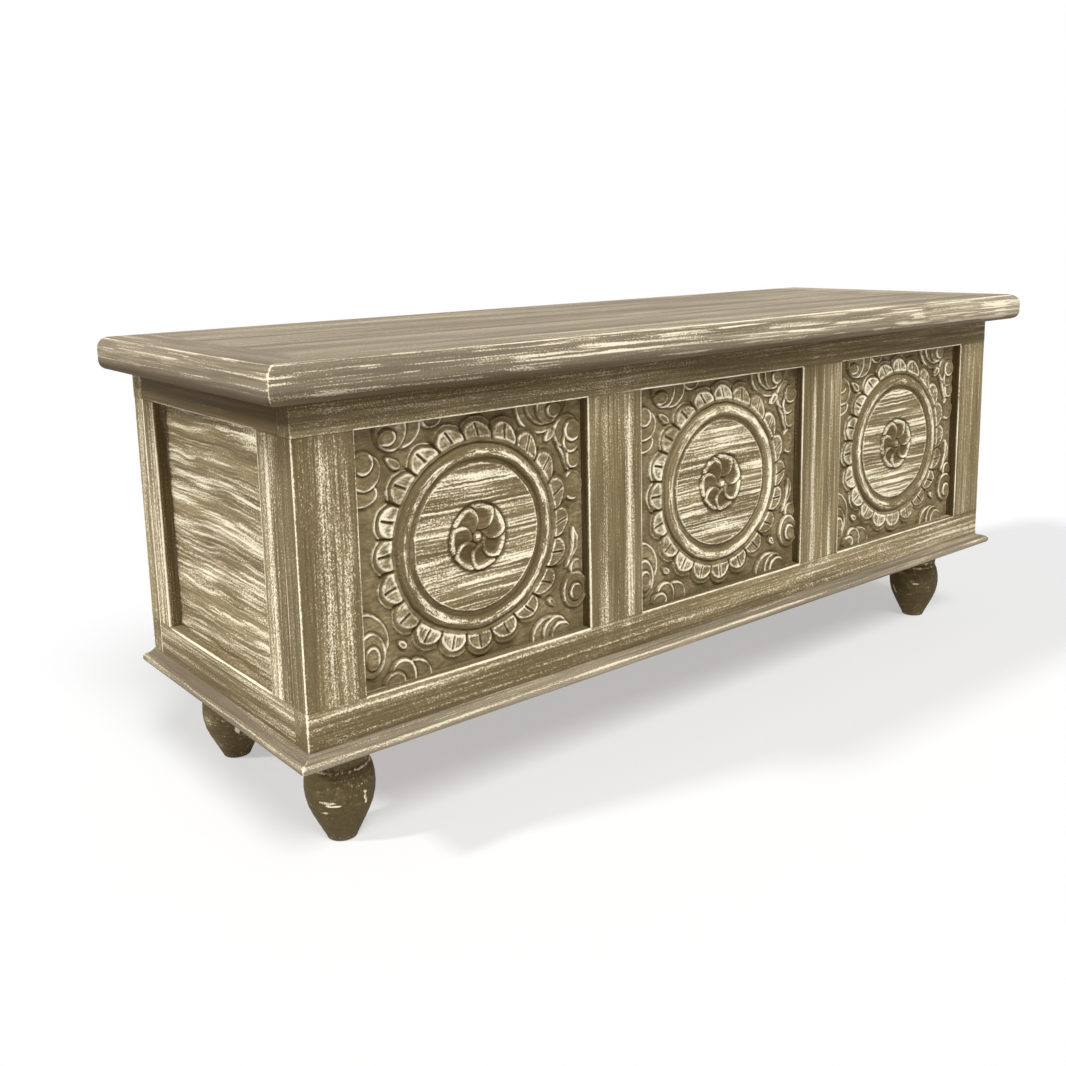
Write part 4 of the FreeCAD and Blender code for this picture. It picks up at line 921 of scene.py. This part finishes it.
def ring_and_disc(across, up, radius, seed):
    """The plain band, the raised ring, the trench inside it, and the gouged disc.

    The ring is round: its height is 2.6 + 3.8 (1 - ((r - 84) / 6.2)^2)^0.5.
    """
    height = np.where(radius > BAND_EDGE, RAISED, TRENCH_FLOOR)
    from_ring = (radius - RING) / RING_HALF
    round_ring = 2.6 + 3.8 * np.sqrt(np.maximum(1 - from_ring**2, 0))
    height = np.where(np.abs(radius - RING) < RING_HALF, round_ring, height)
    level = up + 1.4 * drift(across / 80, up / 40, seed)
    gouge = drifts(across, level, seed, (0.45, 130, 2.7, 1), (0.85, 70, 1.35, 2))
    gouged = RAISED + 0.45 * gouge * ease(72.5, 69, radius)
    height = np.where(radius < DISC_EDGE, gouged, height)

    on_ring = ease(79.5, 81, radius) * ease(89.6, 88, radius)
    around = np.abs(np.arctan2(up, across))
    streaks = drifts(around, radius, seed, (0.5, 1 / 6, 1.3, 3), (0.4, 1 / 21, 0.8, 4))
    crest = 0.10 * on_ring + 0.56 * ridge(radius, 84.4, 3.4)
    pale = 0.13 + crest * (0.9 + streaks) + 0.16 * on_ring * streaks
    pale = np.where(radius < INSIDE_TRENCH, 0.43 + 0.66 * gouge, pale)
    pale = np.maximum(pale, 0.8 * ridge(radius, 71.9, 0.9))
    # Painted shade in the trench inside the ring.
    dark = 0.45 * ease(79.2, 77.6, radius) * ease(DISC_EDGE, DISC_EDGE + 1, radius)
    return height, pale, dark


PETALS = 7
PETAL_ROUND, PETAL_OUT, PETAL_ASIDE, PETALS_REACH = 14.5, 19.5, 9, 32.5
BOSS = 6.2


def rosette(across, up, radius):
    """Seven round petals, each lapping over the next one like the vanes of a turning wheel.

    A petal is a circle of 14.5 mm about a point 19.5 mm out and 9 mm to the side, cut off 32.5 mm
    from the middle. Its edge stands high, and the wood falls from there into a hollow.
    """
    height, pale, dark, shadow, lowest = (
        np.full_like(radius, start) for start in (1.7, 0.1, 0.5, 0.0, 9.0))
    breadth = 1.4 + 4.6 * ease(11, 29, radius)
    for number in range(PETALS):
        turn = math.radians(2 + number * 360 / PETALS)
        x = across * math.cos(turn) + up * math.sin(turn)
        y = up * math.cos(turn) - across * math.sin(turn)
        inside = np.minimum(PETAL_ROUND - np.hypot(x - PETAL_OUT, y - PETAL_ASIDE),
                            PETALS_REACH - radius)
        way = np.arctan2(y, x)
        on_top = (inside > 0) & (way < lowest)
        petal = 1.6 + 3.6 * ease(9.0, 0.8, inside) * ease(0, 0.9, inside)
        crescent = ease(breadth, 0.55 * breadth, inside) * (0.35 + 0.65 * ease(10, 20, radius))
        # Painted shade in each petal's hollow.
        hollow = ease(breadth, breadth + 1.6, inside)
        height, pale, dark, lowest = laid_over(
            (height, pale, dark, lowest), (petal, 0.05 + 0.66 * crescent, 0.58 * hollow, way), on_top)
        under = ridge(inside, -0.5, 0.8) * (way < 0.35) * (way > -1.2) * (radius > 6)
        shadow = np.maximum(shadow, under)
    boss = 5.9 * np.sqrt(np.maximum(1 - (radius / BOSS) ** 2, 0)) ** 0.7
    height = np.maximum(height - 0.6 * shadow, boss)
    pale = np.where(radius < BOSS, 0.2 + 0.42 * (radius < 3.2), pale) * (1 - 0.8 * shadow)
    # Painted shade round the boss's foot and in the cut round the rosette.
    dark = np.where(radius < BOSS, 0.6 * ease(4.2, 6, radius), np.maximum(dark, 0.9 * shadow))
    line = ridge(radius, 34.1, 0.8)
    return (height, pale, np.maximum(dark, 0.8 * line)), line


print(f"{PETALS} petals turn round a boss of {2 * BOSS:.1f} mm")

# %% [markdown]
# ## The leaves in the corners
# Between the medallion and the panel's corners the carver filled the ground with round leaf lobes
# that lap over each other. Each lobe is an oval with a thin raised rim, a slight dish inside it,
# and a sharp drop outside. The brush rubbed the rims most where they face the medallion. They are
# listed from the lowest to the topmost.

# %% Leaf lobes, stems and buds
# Ovals: middle across, middle up, half width and half height, in mm from the medallion's middle.
OVALS = [
    (-50, 125, 13, 13), (-82, 118, 21, 21), (-92, 116, 16.5, 19.5), (-97, 109, 9.5, 7.5),
    (-125.5, 63, 17, 12.5), (-122, 82.5, 18, 18.5), (-122, 90, 10.5, 11),
    (-131, -76, 28, 29), (-123, -89, 15.5, 21), (-121.5, -92, 8.5, 12),
    (-77, -120, 18, 18), (-90, -117, 14.5, 17.5), (-99, -119, 11.5, 9),
    (82, 122, 33, 30.5), (86, 121, 24, 21.5), (91, 119, 16, 18.5), (97, 114, 8.5, 8.5),
    (114, 90, 17.5, 17.5), (119, 34, 12, 15.5), (121.5, 62, 9, 11.5), (119, 77.5, 11, 11.5),
    (122, 90, 11, 11.5),
    (124, -54, 9, 10), (122, -79, 16.5, 20), (124, -82, 8.5, 10),
    (86, -121, 24, 21.5), (95, -120, 17.5, 18.5), (102, -121, 14, 13),
]
# Stems: points along a tapering line, each with its width there.
STEMS = [
    [(113, 92, 16), (106, 76, 9), (111, 62, 7), (117, 48, 6), (122, 30, 5), (122, 20, 1.5)],
    [(120, -12, 3), (123, -22, 8), (122, -32, 8), (114, -46, 4), (110, -54, 1)],
]
# Buds: middle, half length, half width and the turn in degrees.
BUDS = [(-92, 86, 9, 4.5, -35), (-89, -86, 6, 3.5, -40), (91, 87.5, 7.5, 4.5, 48),
        (91, -86, 6, 3.5, 128)]
STEM_TOP, STEM_DISH = 4.2, 3.4
LEAF_TOP, LEAF_DISH = 4.4, 2.9
BUD_TOP, BUD_DISH = 4.0, 3.4


def inside_oval(a, c, half_width, half_height):
    """How far a point lies inside an oval: (1 - p) / |grad p|, with p = ((a/w)^2 + (c/h)^2)^0.5."""
    p = np.maximum(np.hypot(a / half_width, c / half_height), 1e-6)
    slope = np.hypot(a / half_width**2, c / half_height**2) / p
    return (1 - p) / slope


def inside_stem(a, c, joints):
    """How far a point lies inside tapering limbs: half the width there less the distance."""
    best = np.full_like(a, -99.0)
    for (a0, c0, w0), (a1, c1, w1) in zip(joints, joints[1:]):
        span = (a1 - a0) ** 2 + (c1 - c0) ** 2
        share = np.clip(((a - a0) * (a1 - a0) + (c - c0) * (c1 - c0)) / span, 0, 1)
        distance = np.hypot(a - a0 - share * (a1 - a0), c - c0 - share * (c1 - c0))
        best = np.maximum(best, (w0 + share * (w1 - w0)) / 2 - distance)
    return best


def leaves(across, up, seed):
    """The leaf lobes of all four corners, laid over each other: height, paleness and darkness."""
    rng = np.random.default_rng(seed)
    height, pale, dark = (np.full_like(across, start) for start in (0.3, 0.10, 0.12))

    def lay(inside, top, dish, facing=1.0, number=0):
        nonlocal height, pale, dark
        patchy = 0.55 + 0.45 * ease(-0.5, 0.1, drift(across / 15 + 3.7 * number, up / 15, seed + 40))
        rubbed = patchy * (0.12 + 0.88 * ease(-0.35, 0.35, facing))
        share = ease(-0.35, 0.45, inside)
        outside = ridge(inside, -1.1, 0.9) * (inside < 0.2)
        rim = ridge(inside, 1.3, 1.25)
        form = dish + (top - dish) * rim + 0.5 * ease(7, 1.5, inside) * (inside > 1.3)
        # Painted shade in the dish inside the rim, and a painted shadow just outside it.
        height, pale, dark = laid_over(
            (height, pale, dark), (form, 0.13 + rim * rubbed, 0.30 * ridge(inside, 3.2, 1.1)), share)
        height, dark = np.maximum(height - 1.6 * outside, 0.15), np.maximum(dark, 0.85 * outside)

    for joints in STEMS:
        lay(inside_stem(across, up, joints), STEM_TOP, STEM_DISH)
    for number, (middle_a, middle_c, half_width, half_height) in enumerate(OVALS):
        shift_a, shift_c, growth = rng.uniform(-0.9, 0.9, 3)
        a, c = across - middle_a - shift_a, up - middle_c - shift_c
        inside = inside_oval(a, c, half_width + 0.4 * growth, half_height + 0.4 * growth)
        away = np.hypot(a, c) * math.hypot(middle_a, middle_c) + 1e-9
        lay(inside, LEAF_TOP, LEAF_DISH, -(a * middle_a + c * middle_c) / away, number)
    for middle_a, middle_c, half_length, half_width, turn in BUDS:
        way = math.radians(turn)
        along = (across - middle_a) * math.cos(way) + (up - middle_c) * math.sin(way)
        beside = (up - middle_c) * math.cos(way) - (across - middle_a) * math.sin(way)
        swell = 1 + 0.35 * np.clip(along / half_length, -1, 1)
        lay(inside_oval(along, beside / swell, half_length, half_width), BUD_TOP, BUD_DISH)
    return height, pale, dark


print(f"{len(OVALS)} leaf lobes, {len(STEMS)} stems and {len(BUDS)} buds fill the corners")

# %% [markdown]
# ## One carved panel as a sheet with thickness
# The face is a grid with points 0.9 mm apart. One flat face behind it and a band round the edge
# close the form, so that it is a solid board and not a skin.

# %% A board with a carved face
PANEL_EDGE, GROUND_DEPTH = 6.2 * MM, 6.0 * MM


def slab(name, node, low, high, face_axis, towards, height, face_marks):
    """A board whose one face carries heights in metres, on a grid of rows x columns points.

    The grid's columns run along the other horizontal axis and its rows upwards. The face stands
    at the board's side in the direction towards. The back is one flat face on the rim's points.
    """
    rows, columns = height.shape
    side_axis = 1 - face_axis
    front = np.zeros((rows, columns, 3))
    front[..., side_axis] = np.linspace(low[side_axis], high[side_axis], columns)
    front[..., 2] = np.linspace(low[2], high[2], rows)[:, None]
    front[..., face_axis] = (high if towards > 0 else low)[face_axis] + towards * height
    numbers = np.arange(rows * columns).reshape(rows, columns)
    rim = np.concatenate([numbers[0, :-1], numbers[:-1, -1], numbers[-1, :0:-1], numbers[:0:-1, 0]])
    front = front.reshape(-1, 3)
    behind = front[rim]
    behind[:, face_axis] = (low if towards > 0 else high)[face_axis]
    back = len(front) + np.arange(len(rim))
    edge = weave(np.stack([back, rim]), around=True)
    marks = {mark: np.concatenate([values, values[rim]]) for mark, values in face_marks.items()}
    marks["bare"][len(front):] = 1
    faces = [np.concatenate([weave(numbers), edge]), back[None, :]]
    return piece(name, "case", node, np.concatenate([front, behind]), faces, painted, marks)


print(f"a carved panel is {GROUND_DEPTH / MM:.0f} mm thick at its ground")

# %% Cutting the panels
HIGHEST = 6.4
PANEL_ROWS, PANEL_COLUMNS = 292, 322
MIDDLE_EDGE, ROSETTE_EDGE, CUT_EDGE = 91, 33.4, 37
CUT_DEPTH = 1.3


def carved_panel(node, seed):
    """One front panel with its medallion and corner leaves."""
    low, high = box_of(node)
    low[[0, 2]] += PANEL_EDGE
    high[[0, 2]] -= PANEL_EDGE
    low[1] = high[1] - GROUND_DEPTH
    a, c = np.meshgrid(*((np.linspace(low[axis], high[axis], count) - (low[axis] + high[axis]) / 2) / MM
                         for axis, count in ((0, PANEL_COLUMNS), (2, PANEL_ROWS))))
    hand_a, hand_c = (line + drifts(a, c, seed + way, (0.7, 30, 30, 0), (0.55, 11, 11, 7))
                      for way, line in enumerate((a, c)))
    radius, angle = np.hypot(hand_a, hand_c), np.arctan2(hand_c, hand_a)
    layers = laid_over(leaves(hand_a, hand_c, seed), *lobed_border(radius, angle))
    middle = ring_and_disc(hand_a, hand_c, radius, seed)
    height, pale, dark = laid_over(layers, middle, radius < MIDDLE_EDGE)
    petals, cut = rosette(hand_a, hand_c, radius)
    dark = np.maximum(dark, petals[2] * (radius < CUT_EDGE))
    height, pale, dark = laid_over((height, pale, dark), petals, radius < ROSETTE_EDGE)
    height, pale = height - CUT_DEPTH * cut, pale * (1 - cut)
    uneven = drifts(a, c, seed, (0.10, 2.1, 2.1, 2), (0.16, 8, 8, 3))
    height = np.clip(height + uneven, 0, HIGHEST)
    patch = drifts(a, c, seed, (0.30, 26, 26, 4), (0.22, 7, 7, 6))
    patch = 1 + patch * np.where(radius < INSIDE_TRENCH, 0.4, 1.0)

    # The grain lies level on the disc, follows the ring round, and is coarser on the carving.
    grain = np.stack([a * 14, c * 0.7, height], axis=2) * MM
    level_grain = np.stack([a, c, height], axis=2) * MM
    grain = np.where(radius[..., None] < INSIDE_TRENCH, level_grain, grain)
    turned_grain = np.stack([np.abs(angle) * RING * MM, radius * MM, height * MM], axis=2)
    grain = np.where(np.abs(radius - RING)[..., None] < RING_GRAIN, turned_grain, grain)
    marks = marks_of(grain + seed * np.array([0.41, 0.13, 0]), pale * patch, dark)
    return slab(node + "_carved", node, low, high, 1, -1, height * MM, marks)


for seed, position in enumerate(("left", "middle", "right"), 201):
    made = carved_panel(f"front_{position}_panel", seed)
print(f"a carved panel has {len(made.data.polygons)} faces")


# %% [markdown]
# ## The plain side panels
# The side panels were left plain but for the tool: broad, shallow gouge strokes run across them and
# make soft ripples. The brush took the paint off the crests, so the ripples show as pale bands.

# %% The side panels
RIPPLE = 1.8 * MM
RIPPLED_ROWS, RIPPLED_COLUMNS = 250, 200


def rippled_panel(node, towards, seed):
    """A panel with soft level ripples: height 0.9 + 0.40 of the broad and 0.10 of the fine ones.

    Both are drifts that are long and low, over a level that sags and wanders a little.
    """
    low, high = box_of(node)
    low[[1, 2]] += PANEL_EDGE
    high[[1, 2]] -= PANEL_EDGE
    a, c = np.meshgrid(*(np.linspace(low[axis], high[axis], count) / MM
                         for axis, count in ((1, RIPPLED_COLUMNS), (2, RIPPLED_ROWS))))
    sag = 5 * ease(60, -140, a) * ridge(c, 285, 34)
    level = c + sag + drifts(a, c, seed, (2.6, 80, 40, 0), (1.5, 30, 12, 1), (0.5, 9, 5, 6))
    wave = drifts(a, level, seed, (0.8, 130, 7.5, 2), (0.7, 55, 3.3, 4))
    fine = drift(a / 28, level / 1.5, seed + 5)
    height = 0.9 + 0.40 * wave + 0.10 * fine
    (high if towards > 0 else low)[0] -= towards * RIPPLE
    worn = 0.42 + 0.24 * wave + 0.24 * fine + 0.10 * drift(a / 60, c / 40, seed + 3)
    grain = np.stack([a, level, height], axis=2) * MM + seed * np.array([0.23, 0.19, 0])
    return slab(node + "_rippled", node, low, high, 0, towards, np.clip(height - 0.1, 0, 1.7) * MM,
                marks_of(grain, worn))


rippled_panel("left_side_panel", -1, 301)
rippled_panel("right_side_panel", 1, 302)
print(f"{len(pieces)} pieces dressed")


# %% [markdown]
# ## Floor and light
# The photograph is a cut-out on white, with a soft grey shadow that falls to the right. The key
# light stands to the left and behind. A pale matt floor takes its shadow, and the floor fades into
# the white of the world further out. A broad soft light in front fills the face of the chest. To
# the camera, in gloss and through glass the world is plain white, and to the chest it is dim.

# %% The floor
WHITE = (1, 1, 1, 1)
FLOOR_HALF = 12.0
FADE_START, FADE_END = 1.9, 3.4


def seen_white(bench):
    """1 for rays from the camera, from gloss and through glass, and 0 for all others."""
    rays = bench.node("ShaderNodeLightPath").outputs
    seen = bench.math("MAXIMUM", rays["Is Camera Ray"], rays["Is Glossy Ray"])
    return bench.math("MAXIMUM", seen, rays["Is Transmission Ray"])


def chosen(bench, share, first, second):
    """The shader of one node or of another one, by the share of the second."""
    return bench.node("ShaderNodeMixShader", {0: share, 1: first.outputs[0], 2: second.outputs[0]})


def pale_floor():
    """A large flat square. Near the middle it is plain matt white, and far out it shines white."""
    bench = Bench(bpy.data.materials.new("pale_floor"))
    far = bench.node("ShaderNodeVectorMath", {0: bench.object_place()}, operation="LENGTH")
    fading = bench.between(far.outputs["Value"], FADE_START, FADE_END)
    matt, greyer = (bench.node("ShaderNodeBsdfDiffuse", {"Color": (grey, grey, grey, 1)})
                    for grey in (0.94, 0.42))
    glow, white = (bench.node("ShaderNodeEmission", {"Color": WHITE, "Strength": strength})
                   for strength in (0.45, 1.0))
    lifted = bench.node("ShaderNodeAddShader", {0: greyer.outputs[0], 1: glow.outputs[0]})
    clear = seen_white(bench)
    pictured = chosen(bench, clear, matt, lifted)
    blend = chosen(bench, bench.math("MULTIPLY", fading, clear), pictured, white)
    bench.node("ShaderNodeOutputMaterial", {"Surface": blend.outputs[0]})
    corners = [(FLOOR_HALF * x, FLOOR_HALF * y, 0) for x, y in ((-1, -1), (1, -1), (1, 1), (-1, 1))]
    mesh = bpy.data.meshes.new("floor")
    mesh.from_pydata(corners, [], [(0, 1, 2, 3)])
    mesh.materials.append(bench.owner)
    floor = into_scene("floor", mesh)


pale_floor()
print("the floor is laid")

# %% The world and the lamps
world = bpy.data.worlds.new("white_studio")
bpy.context.scene.world = world
studio = Bench(world)
dim, bright = (studio.node("ShaderNodeBackground", {"Color": WHITE, "Strength": strength})
               for strength in (0.20, 1.0))
shown = chosen(studio, seen_white(studio), dim, bright)
studio.node("ShaderNodeOutputWorld", {"Surface": shown.outputs[0]})


def sun(name, shines_along, strength, softness):
    """A distant white lamp that shines along a direction. softness is its width in degrees."""
    data = bpy.data.lights.new(name, "SUN")
    data.energy = strength
    data.angle = math.radians(softness)
    lamp = into_scene(name, data)
    lamp.rotation_euler = Vector(shines_along).to_track_quat("-Z", "Y").to_euler()


sun("key_from_the_left", (0.97, -0.243, -0.79), 2.04, 6)
sun("fill_from_the_front", (0.20, 0.64, -0.80), 2.93, 24)
print("the lamps are up")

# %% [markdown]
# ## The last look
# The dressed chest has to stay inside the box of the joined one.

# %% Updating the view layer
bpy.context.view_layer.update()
